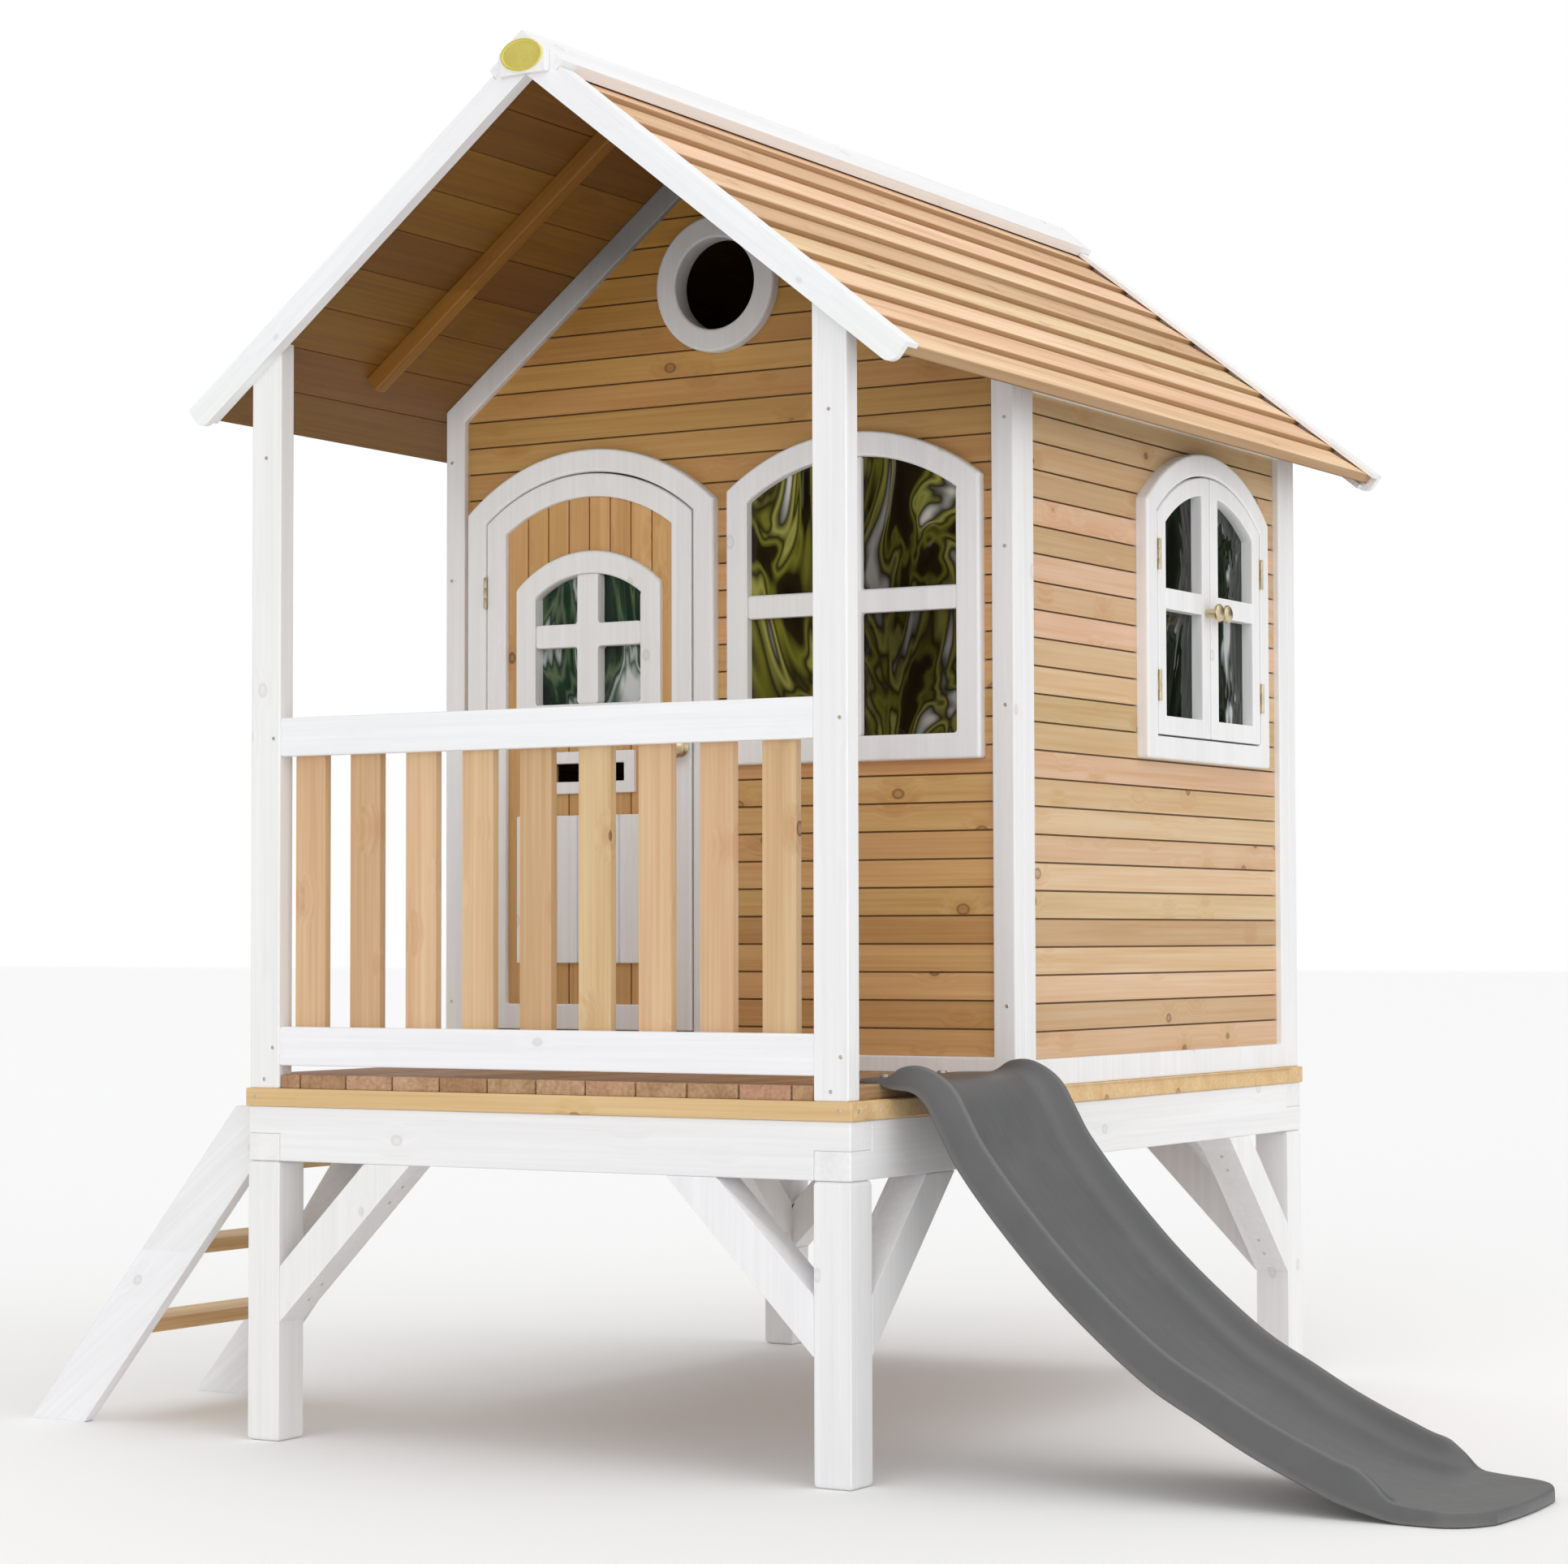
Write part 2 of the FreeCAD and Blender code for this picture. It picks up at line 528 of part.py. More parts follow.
# ---------------------------------------------------------------- platform
def build_platform():
    corners = [(x, y) for x in (frame_lip, leg_right) for y in (frame_lip, leg_rear)]
    part("legs", *[box(f"leg {i + 1}", x, y, 0, leg_side, leg_side, leg_length)
                   for i, (x, y) in enumerate(corners)])

    half = beam_height / 2
    long_x = platform_width - 2 * frame_lip
    long_y = platform_depth - 2 * frame_lip
    cross_beams = []
    for end, y in (("front", frame_lip), ("rear", leg_rear)):
        lower = box(f"{end} beam lower", leg_near, y, leg_length, leg_right - leg_near, leg_side, half)
        upper = box(f"{end} beam upper", frame_lip, y, leg_length + half, long_x, leg_side, half)
        cross_beams.append(boolean("Fuse", f"{end} beam", lower, upper))
    part("beams_front_rear", *cross_beams)
    side_beams = []
    for side, x in (("left", frame_lip), ("right", leg_right)):
        lower = box(f"{side} beam lower", x, frame_lip, leg_length, leg_side, long_y, half)
        upper = box(f"{side} beam upper", x, leg_near, leg_length + half,
                    leg_side, leg_rear - leg_near, half)
        side_beams.append(boolean("Fuse", f"{side} beam", lower, upper))
    part("beams_left_right", *side_beams)

    brace_end = named("brace_end", brace_reach + leg_side * math.sqrt(2), "far corner of a brace")
    braces = []
    for plane, near, far, starts in (
        ("XZ", leg_near, leg_right, (frame_lip, leg_rear)),
        ("YZ", leg_near, leg_rear, (frame_lip, leg_right)),
    ):
        low = [(near, leg_length - brace_end), (near + brace_end, leg_length),
               (near + brace_reach, leg_length), (near, leg_length - brace_reach)]
        high = [(far, leg_length - brace_end), (far, leg_length - brace_reach),
                (far - brace_reach, leg_length), (far - brace_end, leg_length)]
        for start in starts:
            for loop in (low, high):
                braces.append(prism(f"brace {len(braces) + 1}", plane, start, leg_side, loop))
    part("knee_braces", *braces)

    part("floor_frame",
         box("frame front", 0, 0, beam_top, platform_width, frame_board, frame_thickness),
         box("frame rear", 0, platform_depth - frame_board, beam_top,
             platform_width, frame_board, frame_thickness),
         box("frame left", 0, frame_board, beam_top,
             frame_board, platform_depth - 2 * frame_board, frame_thickness),
         box("frame right", platform_width - frame_board, frame_board, beam_top,
             frame_board, platform_depth - 2 * frame_board, frame_thickness))

    joist_height = beam_height
    step = (platform_depth - joist_width) / (joist_count + 1)
    part("floor_joists", *[
        box(f"joist {i + 1}", leg_near, step * (i + 1), frame_top - joist_height,
            leg_right - leg_near, joist_width, joist_height)
        for i in range(int(joist_count.value))])


def build_deck():
    pitch = named("deck_pitch", deck_board + deck_gap, "deck boards, one to the next")
    deck_count = round_up((platform_width + deck_gap) / pitch) - 1
    first = named("deck_first", (platform_width - deck_count * pitch + deck_gap) / 2, "first deck board")
    rear = rear_inner - deck_gap
    boards = [box(f"deck board {i + 1}", first + pitch * i, deck_setback, frame_top,
                  deck_board, rear - deck_setback, deck_thickness)
              for i in range(int(deck_count.value))]
    field = doc.addObject("Part::Compound", "deck_field")
    field.Links = boards
    # clear of the porch posts and of the side walls, which stand on the floor frame
    post_edge = wall_inset + post_width + deck_gap
    post_back = post_setback + post_depth + deck_gap
    wall_edge = wall_inset + wall_thickness + deck_gap
    left = [(0, post_back), (post_edge, post_back), (post_edge, 0)]
    right = [(platform_width - x, y) for x, y in reversed(left)]
    outline = left + right + [
        (platform_width, wall_back), (platform_width - wall_edge, wall_back),
        (platform_width - wall_edge, rear_inner), (wall_edge, rear_inner),
        (wall_edge, wall_back), (0, wall_back),
    ]
    shape = prism("deck outline", "XY", frame_top, deck_thickness, outline)
    part("deck_boards", boolean("Common", "deck", field, shape))


# ---------------------------------------------------------------- ladder
def build_ladder():
    top = frame_top - frame_thickness - ladder_top_drop
    lean = named("ladder_slope", ladder_lean / top, "ladder's lean for each unit of height")
    face = frame_lip
    lower_meet = (face - (x_lowest + stringer_foot)) / lean
    outline = [
        (x_lowest, 0), (x_lowest + stringer_foot, 0), (face, lower_meet),
        (face, top), (x_lowest + ladder_lean, top),
    ]
    back = ladder_front + ladder_width - stringer_thickness
    part("ladder_stringers", *[
        prism(f"stringer {end}", "XZ", y, stringer_thickness, outline)
        for end, y in (("front", ladder_front), ("rear", back))])
    treads = []
    inner = ladder_front + stringer_thickness
    for i in range(int(tread_count.value)):
        height = tread_first + tread_rise * i
        treads.append(box(f"tread {i + 1}", x_lowest + lean * height - tread_nose, inner,
                          height - tread_thickness, tread_depth,
                          ladder_width - 2 * stringer_thickness, tread_thickness))
    part("ladder_treads", *treads)


# ---------------------------------------------------------------- slide
def build_slide():
    edge = platform_width
    lip_start = edge - slide_lip
    lip_top = deck_top + slide_lip_thickness
    over = edge - slide_lip_clearance
    lap = slide_lip_clearance
    bend_x = edge + slide_bend_out
    bend_z = deck_top - slide_bend_drop
    foot_x = edge + slide_foot_out
    hump_x = edge + slide_hump_out
    steep = named("slide_steep", (lip_top - bend_z) / (bend_x - hump_x), "straight slope")
    across = named("slide_across", root(1 + steep * steep), "slope's length for each unit along it")
    skirt_x = slide_skirt * steep / across
    skirt_z = slide_skirt / across
    half_hump = (slide_hump_in + slide_hump_out) / 2
    rise = slide_hump - slide_lip_thickness
    hump_radius = named("slide_hump_radius", (half_hump * half_hump + rise * rise) / (2 * rise), "humps")
    outline = [
        (lip_start, deck_top), (over, deck_top), (over, deck_top - lap),
        (edge + lap, deck_top - lap), (edge + skirt_x, deck_top - skirt_x),
        (bend_x - skirt_x, bend_z - skirt_z, slide_curve, True),
        (foot_x, 0), (x_highest, 0), (x_highest, slide_end), (foot_x + slide_run, slide_end),
        (foot_x, slide_end + slide_step, slide_curve, False),
        (bend_x, bend_z), (hump_x, lip_top, hump_radius, True), (edge - slide_hump_in, lip_top),
        (lip_start, lip_top),
    ]
    hull = prism("slide hull", "XZ", slide_front, slide_width, outline)
    deep_x = slide_channel * steep / across
    deep_z = slide_channel / across
    # the channel's cutter starts behind the lip and ends past the slide's end
    before = lip_start - slide_lip
    after = x_highest + slide_corner
    above = deck_top + 2 * slide_hump
    channel = [
        (before, lip_top), (edge + slide_crest_out, lip_top),
        (bend_x - deep_x, bend_z - deep_z, slide_curve, True),
        (foot_x, slide_end), (after, slide_end), (after, above), (before, above),
    ]
    hollow = prism("slide channel", "XZ", slide_front + slide_rim, slide_width - 2 * slide_rim, channel)
    moulding = boolean("Cut", "slide moulding", hull, hollow)
    y_low = slide_front
    y_high = slide_front + slide_width
    plan = [
        (before, y_low), (x_highest - slide_corner, y_low, slide_corner),
        (x_highest, y_low + slide_corner), (x_highest, y_high - slide_corner, slide_corner),
        (x_highest - slide_corner, y_high), (before, y_high),
    ]
    plan_block = prism("slide plan", "XY", 0, above, plan)
    part("slide_chute", boolean("Common", "slide", moulding, plan_block))
    bolt_x = lip_start + 2 * bolt_radius
    part("slide_bolts", *[
        rod(f"slide bolt {i + 1}", bolt_x, y, lip_top, bolt_radius, bolt_head)
        for i, y in enumerate((slide_front + slide_width / 4, slide_front + slide_width * 3 / 4))])


# ---------------------------------------------------------------- porch
def build_porch():
    post_in = wall_inset + post_width
    for side in SIDES:
        loop = [(wall_inset, frame_top), (post_in, frame_top),
                (post_in, underside(post_in)), (wall_inset, underside(wall_inset))]
        name = f"porch_post_{side}"
        part(name, prism(name + " post", "XZ", post_setback, post_depth, mirrored(side, loop)))
    rail_y = post_setback + rail_setback
    span = platform_width - 2 * post_in
    low = deck_top + bottom_rail_rise
    high = deck_top + top_rail_rise
    part("porch_rails",
         box("top rail", post_in, rail_y, high, span, rail_thickness, rail_height),
         box("bottom rail", post_in, rail_y, low, span, rail_thickness, rail_height))
    pitch = (span - baluster_start - baluster_end - baluster_width) / (baluster_count - 1)
    part("balusters", *[
        box(f"baluster {i + 1}", post_in + baluster_start + pitch * i, rail_y + rail_thickness,
            low + baluster_margin, baluster_width, baluster_thickness,
            high + rail_height - low - 2 * baluster_margin)
        for i in range(int(baluster_count.value))])


# ---------------------------------------------------------------- walls
def gable_loop(inset, foot, drop):
    """A wall outline under the roof: inset from the wall's edges and dropped from the roof."""
    left = wall_inset + inset
    return [(left, foot), (platform_width - left, foot), (platform_width - left, underside(left, drop)),
            (middle, ridge_height - drop), (left, underside(left, drop))]


def gable_frame(name, y, foot, sill):
    drop = wall_member / slope_cos
    return prism(name, "XZ", y, wall_thickness,
                 gable_loop(0, foot, 0), gable_loop(wall_member, foot + sill, drop))


def gable_boards(name, face, back, foot, *holes):
    """Cladding that fills a gable frame, with openings."""
    left = wall_inset + wall_member
    drop = wall_member / slope_cos
    count = round_up((ridge_height - foot) / board_pitch) + 1
    row_of_boards = lapped_boards(
        name + " row", "YZ", left, platform_width - 2 * left,
        lap_profile(face, back, foot - board_pitch, board_pitch), board_pitch, count, "V_Axis")
    low = face if face.value < back.value else back
    field = prism(name + " field", "XZ", low, board_thickness,
                  gable_loop(wall_member, foot, drop), *holes)
    return boolean("Common", name + " cladding", row_of_boards, field)


door_loop = arch(surround_left, surround_left + surround_width, deck_top - cut_over,
                 deck_top + surround_top, surround_radius)
window_loop = arch(window_left, window_left + window_width, deck_top + window_foot,
                   deck_top + window_foot + window_height, window_radius)
porthole_z = named("porthole_z", ridge_height - porthole_drop, "porthole's centre")


def build_gables():
    face = house_front + board_recess
    for name, maker in (("front_wall_frame", "frame"), ("front_wall_boards", "boards")):
        if maker == "frame":
            whole = gable_frame("front frame", house_front, deck_top, sill_member)
        else:
            whole = gable_boards("front boards", face, face + board_thickness, deck_top + sill_member,
                                 window_loop, ("circle", middle, porthole_z, porthole_radius))
        gap = prism(name + " doorway", "XZ", house_front - cut_over, wall_thickness + 2 * cut_over, door_loop)
        part(name, boolean("Cut", name + " cut", whole, gap))
    part("rear_wall_frame", gable_frame("rear frame", rear_inner, frame_top, side_sill))
    rear_face = wall_rear - board_recess
    part("rear_wall_boards", gable_boards("rear boards", rear_face, rear_face - board_thickness,
                                          frame_top + side_sill))


side_front = named("side_front", wall_back + side_window_front, "side window's front edge")
side_rear = named("side_rear", side_front + side_window_width, "side window's rear edge")
side_foot = named("side_foot", frame_top + side_window_foot, "side window's foot")
side_apex = named("side_apex", side_foot + side_window_height, "side window's top")


def build_side_walls():
    top = underside(wall_inset)
    outer = [(wall_back, frame_top), (rear_inner, frame_top), (rear_inner, top), (wall_back, top)]
    front = wall_back + wall_member
    rear = rear_inner - wall_member
    foot = frame_top + side_sill
    head = top - wall_member
    inner = [(front, foot), (rear, foot), (rear, head), (front, head)]
    gap = arch(side_front, side_rear, side_foot, side_apex, side_window_radius)
    for side in SIDES:
        start = other_side(side, wall_inset, wall_thickness)
        part(f"{side}_wall_frame", prism(f"{side} frame", "YZ", start, wall_thickness, outer, inner))
        face = other_side(side, wall_inset + board_recess)
        back = other_side(side, wall_inset + board_recess + board_thickness)
        count = round_up((head - foot) / board_pitch) + 1
        row_of_boards = lapped_boards(
            f"{side} boards row", "XZ", front, rear - front,
            lap_profile(face, back, foot - board_pitch, board_pitch), board_pitch, count, "V_Axis")
        low = face if face.value < back.value else back
        field = prism(f"{side} boards field", "YZ", low, board_thickness, inner, gap)
        part(f"{side}_wall_boards", boolean("Common", f"{side} cladding", row_of_boards, field))


# ---------------------------------------------------------------- hinges and knobs
class Local:
    """Axis-aligned directions of a hinged leaf: u runs from its hinge, w out of its face."""

    def __init__(self, x, y, u, w):
        self.x = x
        self.y = y
        self.u = u
        self.w = w

    def span(self, origin, part_u, part_w, u_range, w_range):
        low = origin
        long = None
        for sign, (start, end) in ((part_u, u_range), (part_w, w_range)):
            if sign > 0:
                low = low + start
                long = end - start
            elif sign < 0:
                low = low - end
                long = end - start
        return low, long

    def box(self, name, u_range, w_range, z, height):
        u_range = [as_size(v) for v in u_range]
        w_range = [as_size(v) for v in w_range]
        x, long_x = self.span(self.x, self.u[0], self.w[0], u_range, w_range)
        y, long_y = self.span(self.y, self.u[1], self.w[1], u_range, w_range)
        return box(name, x, y, z, long_x, long_y, height)

    def point(self, u, w):
        return (self.x + u * self.u[0] + w * self.w[0], self.y + u * self.u[1] + w * self.w[1])


def hinge(name, local, z, gap):
    """A butt hinge with its plates in the gap: the frame's half with its pin, and the leaf's half."""
    third = hinge_height / 3
    near = 0 - knuckle_radius - knuckle_gap
    deep = near - hinge_plate
    joined = near - hinge_sheet
    on_frame = (0 - gap / 2, hinge_sheet - gap / 2)
    on_leaf = (gap / 2 - hinge_sheet, gap / 2)
    x, y = local.point(0, 0)
    plate = local.box(name + " frame plate", on_frame, (deep, near), z, hinge_height)
    tab_z = z + third + knuckle_gap
    tab_long = third - 2 * knuckle_gap
    tab = local.box(name + " frame tab", on_frame, (joined, as_size(0)), tab_z, tab_long)
    barrel = rod(name + " frame knuckle", x, y, tab_z, knuckle_radius, tab_long)
    pin = rod(name + " pin", x, y, z, pin_radius, hinge_height)
    fixed = boolean("Fuse", name + " frame half a", plate, tab)
    fixed = boolean("Fuse", name + " frame half b", fixed, barrel)
    fixed = boolean("Fuse", name + " frame half", fixed, pin)
    moving = local.box(name + " leaf plate", on_leaf, (deep, near), z, hinge_height)
    for i, foot in enumerate((z, z + 2 * third)):
        tab = local.box(f"{name} leaf tab {i}", on_leaf, (joined, as_size(0)), foot, third)
        barrel = rod(f"{name} leaf knuckle {i}", x, y, foot, knuckle_radius, third)
        moving = boolean("Fuse", f"{name} leaf half a{i}", moving, tab)
        moving = boolean("Fuse", f"{name} leaf half b{i}", moving, barrel)
    bore = rod(name + " bore", x, y, z - cut_over, pin_radius + pin_clearance,
               hinge_height + 2 * cut_over)
    return fixed, boolean("Cut", name + " leaf half", moving, bore)


def knob(name, x, y, z, direction):
    """A round mushroom knob on a short stem."""
    stem = rod(name + " stem", x, y, z, stem_radius, knob_length - knob_radius / 2, direction)
    head = doc.addObject("Part::Ellipsoid", unique(name + " head"))
    head_depth = knob_radius / 2
    bind(head, "Radius1", head_depth)
    bind(head, "Radius2", knob_radius)
    bind(head, "Radius3", knob_radius)
    aims = {"X": (1, 0, 0), "-X": (-1, 0, 0), "-Y": (0, -1, 0)}
    aim = FreeCAD.Vector(*aims[direction])
    head.Placement = FreeCAD.Placement(FreeCAD.Vector(0, 0, 0), FreeCAD.Rotation(FreeCAD.Vector(0, 0, 1), aim))
    out = knob_length - head_depth
    bind(head, "Placement.Base.x", x + out * aims[direction][0])
    bind(head, "Placement.Base.y", y + out * aims[direction][1])
    bind(head, "Placement.Base.z", z)
    return boolean("Fuse", name, stem, head)


def barred_frame(name, low, high, foot, apex, radius, member, front, thickness, bars):
    """An arched window frame with one upright and one level bar.

    bars: the bars' front face and thickness, the two bars' widths, and the level bar's height."""
    bar_front, bar_thickness, upright_bar, level_bar, level_z = bars
    outer = arch(low, high, foot, apex, radius)
    inner = arch(low + member, high - member, foot + member, apex - member, radius - member)
    ring = prism(name + " ring", "XZ", front, thickness, outer, inner)
    upright = box(name + " upright bar", (low + high - upright_bar) / 2, bar_front, foot,
                  upright_bar, bar_thickness, apex - foot)
    level = box(name + " level bar", low, bar_front, level_z - level_bar / 2,
                high - low, bar_thickness, level_bar)
    cross = boolean("Fuse", name + " bars", upright, level)
    light = prism(name + " light", "XZ", front, thickness, inner)
    bars = boolean("Common", name + " cross", cross, light)
    return ring, bars, inner


# ---------------------------------------------------------------- door
def build_door():
    face = house_front - trim_proud
    left = surround_left
    right = surround_left + surround_width
    apex = deck_top + surround_top
    inner_left = left + surround_member
    inner_right = right - surround_member
    inner_foot = deck_top + door_sill
    inner_radius = surround_radius - surround_member
    inner_apex = apex - surround_member
    part("door_surround", prism(
        "surround", "XZ", face, wall_thickness + trim_proud,
        arch(left, right, deck_top, apex, surround_radius),
        arch(inner_left, inner_right, inner_foot, inner_apex, inner_radius)))

    low = named("leaf_low", inner_left + door_clearance, "door leaf's hinge edge")
    high = named("leaf_high", inner_right - door_clearance, "door leaf's free edge")
    foot = named("leaf_foot", inner_foot + door_clearance, "door leaf's bottom")
    top = named("leaf_top", inner_apex - door_clearance, "door leaf's top")
    radius = inner_radius - door_clearance
    field = arch(low + door_member, high - door_member, foot + door_bottom_rail,
                 top - door_member, radius - door_member)
    part("door_leaf_frame", prism("leaf frame", "XZ", face, door_thickness,
                                  arch(low, high, foot, top, radius), field))

    light_low = low + light_margin
    light_high = high - light_margin
    light_z = foot + light_foot
    light_apex = light_z + light_height
    centre = named("leaf_centre", (low + high) / 2, "door leaf's middle")
    ring, bars, inner = barred_frame(
        "door light", light_low, light_high, light_z, light_apex, light_radius, light_member,
        face, door_thickness,
        (face, light_bar_thickness, light_upright_bar, light_level_bar, light_z + light_bar_rise))
    part("door_window_frame", ring, bars)
    part("door_window_pane", prism("door pane", "XZ", face + light_bar_thickness, pane_thickness, inner))

    boards_face = named("door_boards_face", face + overlay + overlay_inset, "door boards' face")
    slot_low = centre - letter_width / 2 + letter_border
    slot_high = centre + letter_width / 2 - letter_border
    letter_z = foot + letter_foot
    slot = [(slot_low, letter_z + letter_border), (slot_high, letter_z + letter_border),
            (slot_high, letter_z + letter_height - letter_border),
            (slot_low, letter_z + letter_height - letter_border)]
    count = round_up((high - low) / door_board_pitch) + 2
    # the middle of the row is on the leaf's middle, so the end boards are cut equally
    first = centre - door_board_pitch * count / 2
    section = [(across, deep) for deep, across in lap_profile(
        boards_face, boards_face + door_board_thickness, first, door_board_pitch)]
    section.reverse()
    row_of_boards = lapped_boards("door boards row", "XY", foot, top - foot, section,
                                  door_board_pitch, count, "H_Axis")
    panel = prism("door boards field", "XZ", boards_face, door_board_thickness, field,
                  arch(light_low, light_high, light_z, light_apex, light_radius), slot)
    part("door_boards", boolean("Common", "door cladding", row_of_boards, panel))

    plate_front = boards_face - overlay
    plate = [(centre - letter_width / 2, letter_z), (centre + letter_width / 2, letter_z),
             (centre + letter_width / 2, letter_z + letter_height),
             (centre - letter_width / 2, letter_z + letter_height)]
    part("letter_plate", prism("letter plate", "XZ", plate_front, overlay, plate, slot))

    panel_low = light_low
    panel_z = foot + panel_foot
    strip = (light_high - light_low - panel_groove * (panel_strips - 1)) / panel_strips
    backing = box("panel backing", panel_low, boards_face - overlay / 2, panel_z,
                  light_high - light_low, overlay / 2, panel_height)
    whole = backing
    for i in range(int(panel_strips.value)):
        bead = box(f"panel strip {i + 1}", panel_low + (strip + panel_groove) * i, plate_front, panel_z,
                   strip, overlay / 2 + 1, panel_height)
        whole = boolean("Fuse", f"panel with strip {i + 1}", whole, bead)
    part("door_lower_panel", whole)

    part("door_knob", knob("door knob", high - door_member / 2, face, foot + knob_height, "-Y"))
    local = Local(inner_left + door_clearance / 2, face - knuckle_stand, (1, 0), (0, -1))
    halves = [hinge(f"door hinge {i + 1}", local, foot + rise, door_clearance)
              for i, rise in enumerate((door_hinge_low, door_hinge_high))]
    part("door_hinge_frame_halves", *[pair[0] for pair in halves])
    part("door_hinge_leaf_halves", *[pair[1] for pair in halves])


# ---------------------------------------------------------------- front window and porthole
def build_front_openings():
    front = house_front - trim_proud
    depth = wall_thickness + trim_proud
    foot = deck_top + window_foot
    bar_front = front + window_bar_inset
    ring, bars, inner = barred_frame(
        "front window", window_left, window_left + window_width, foot, foot + window_height,
        window_radius, window_member, front, depth,
        (bar_front, window_bar_thickness, window_bar, window_bar,
         foot + window_height / 2 - window_bar_drop))
    part("front_window_frame", ring, bars)
    part("front_window_pane",
         prism("front pane", "XZ", bar_front + window_bar_thickness, pane_thickness, inner))
    part("porthole_ring", prism(
        "porthole", "XZ", front, depth,
        ("circle", middle, porthole_z, porthole_radius), ("circle", middle, porthole_z, porthole_hole)))


# ---------------------------------------------------------------- side windows
def build_side_windows():
    member = side_window_member
    depth = wall_thickness + side_trim_proud
    outer = arch(side_front, side_rear, side_foot, side_apex, side_window_radius)
    inner_radius = side_window_radius - member
    inner = arch(side_front + member, side_rear - member, side_foot + member,
                 side_apex - member, inner_radius)
    centre = named("side_centre", (side_front + side_rear) / 2, "side window's middle")
    gap = casement_clearance
    radius = inner_radius - gap
    arch_z = named("side_arch_z", side_apex - side_window_radius, "centre of the side window's arch")
    foot = side_foot + member + gap
    spans = {
        "front": (side_front + member + gap, centre - casement_meeting / 2),
        "rear": (centre + casement_meeting / 2, side_rear - member - gap),
    }

    def crown(place, reach):
        off = centre - place
        return arch_z + root(reach * reach - off * off)

    def leaf_loop(low, high, inset):
        reach = radius - inset
        return [(low + inset, foot + inset), (high - inset, foot + inset),
                (high - inset, crown(high - inset, reach), reach), (low + inset, crown(low + inset, reach))]

    for side in SIDES:
        start = other_side(side, wall_inset - side_trim_proud, depth)
        part(f"{side}_window_surround", prism(f"{side} surround", "YZ", start, depth, outer, inner))
        outward = -1 if side == "left" else 1
        face = other_side(side, wall_inset - side_trim_proud)
        leaf_start = other_side(side, wall_inset - side_trim_proud, casement_thickness)
        fixed = []
        for end, turn in (("front", 1), ("rear", -1)):
            name = f"{side}_casement_{end}"
            low, high = spans[end]
            frame = prism(name + " frame", "YZ", leaf_start, casement_thickness,
                          leaf_loop(low, high, 0), leaf_loop(low, high, casement_member))
            hole = leaf_loop(low, high, casement_member)
            bar_start = other_side(side, wall_inset - side_trim_proud, casement_bar_thickness)
            bar = box(name + " bar", bar_start, low + casement_member,
                      foot + casement_bar_rise, casement_bar_thickness,
                      high - low - 2 * casement_member, casement_bar)
            part(name, frame, bar)
            pane_place = wall_inset - side_trim_proud + casement_bar_thickness
            pane_start = other_side(side, pane_place, pane_thickness)
            part(name + "_pane", prism(name + " pane", "YZ", pane_start, pane_thickness, hole))
            hinge_y = low - gap / 2 if end == "front" else high + gap / 2
            local = Local(face + knuckle_stand * outward, hinge_y, (0, turn), (outward, 0))
            halves = [hinge(f"{name} hinge {i + 1}", local, foot + rise, gap)
                      for i, rise in enumerate((casement_hinge_low, casement_hinge_high))]
            fixed += [pair[0] for pair in halves]
            knob_y = high - casement_member / 2 if end == "front" else low + casement_member / 2
            grip = knob(name + " knob", face, knob_y, foot + casement_knob_rise,
                        "-X" if side == "left" else "X")
            part(name + "_fittings", grip, *[pair[1] for pair in halves])
        part(f"{side}_window_hinge_halves", *fixed)


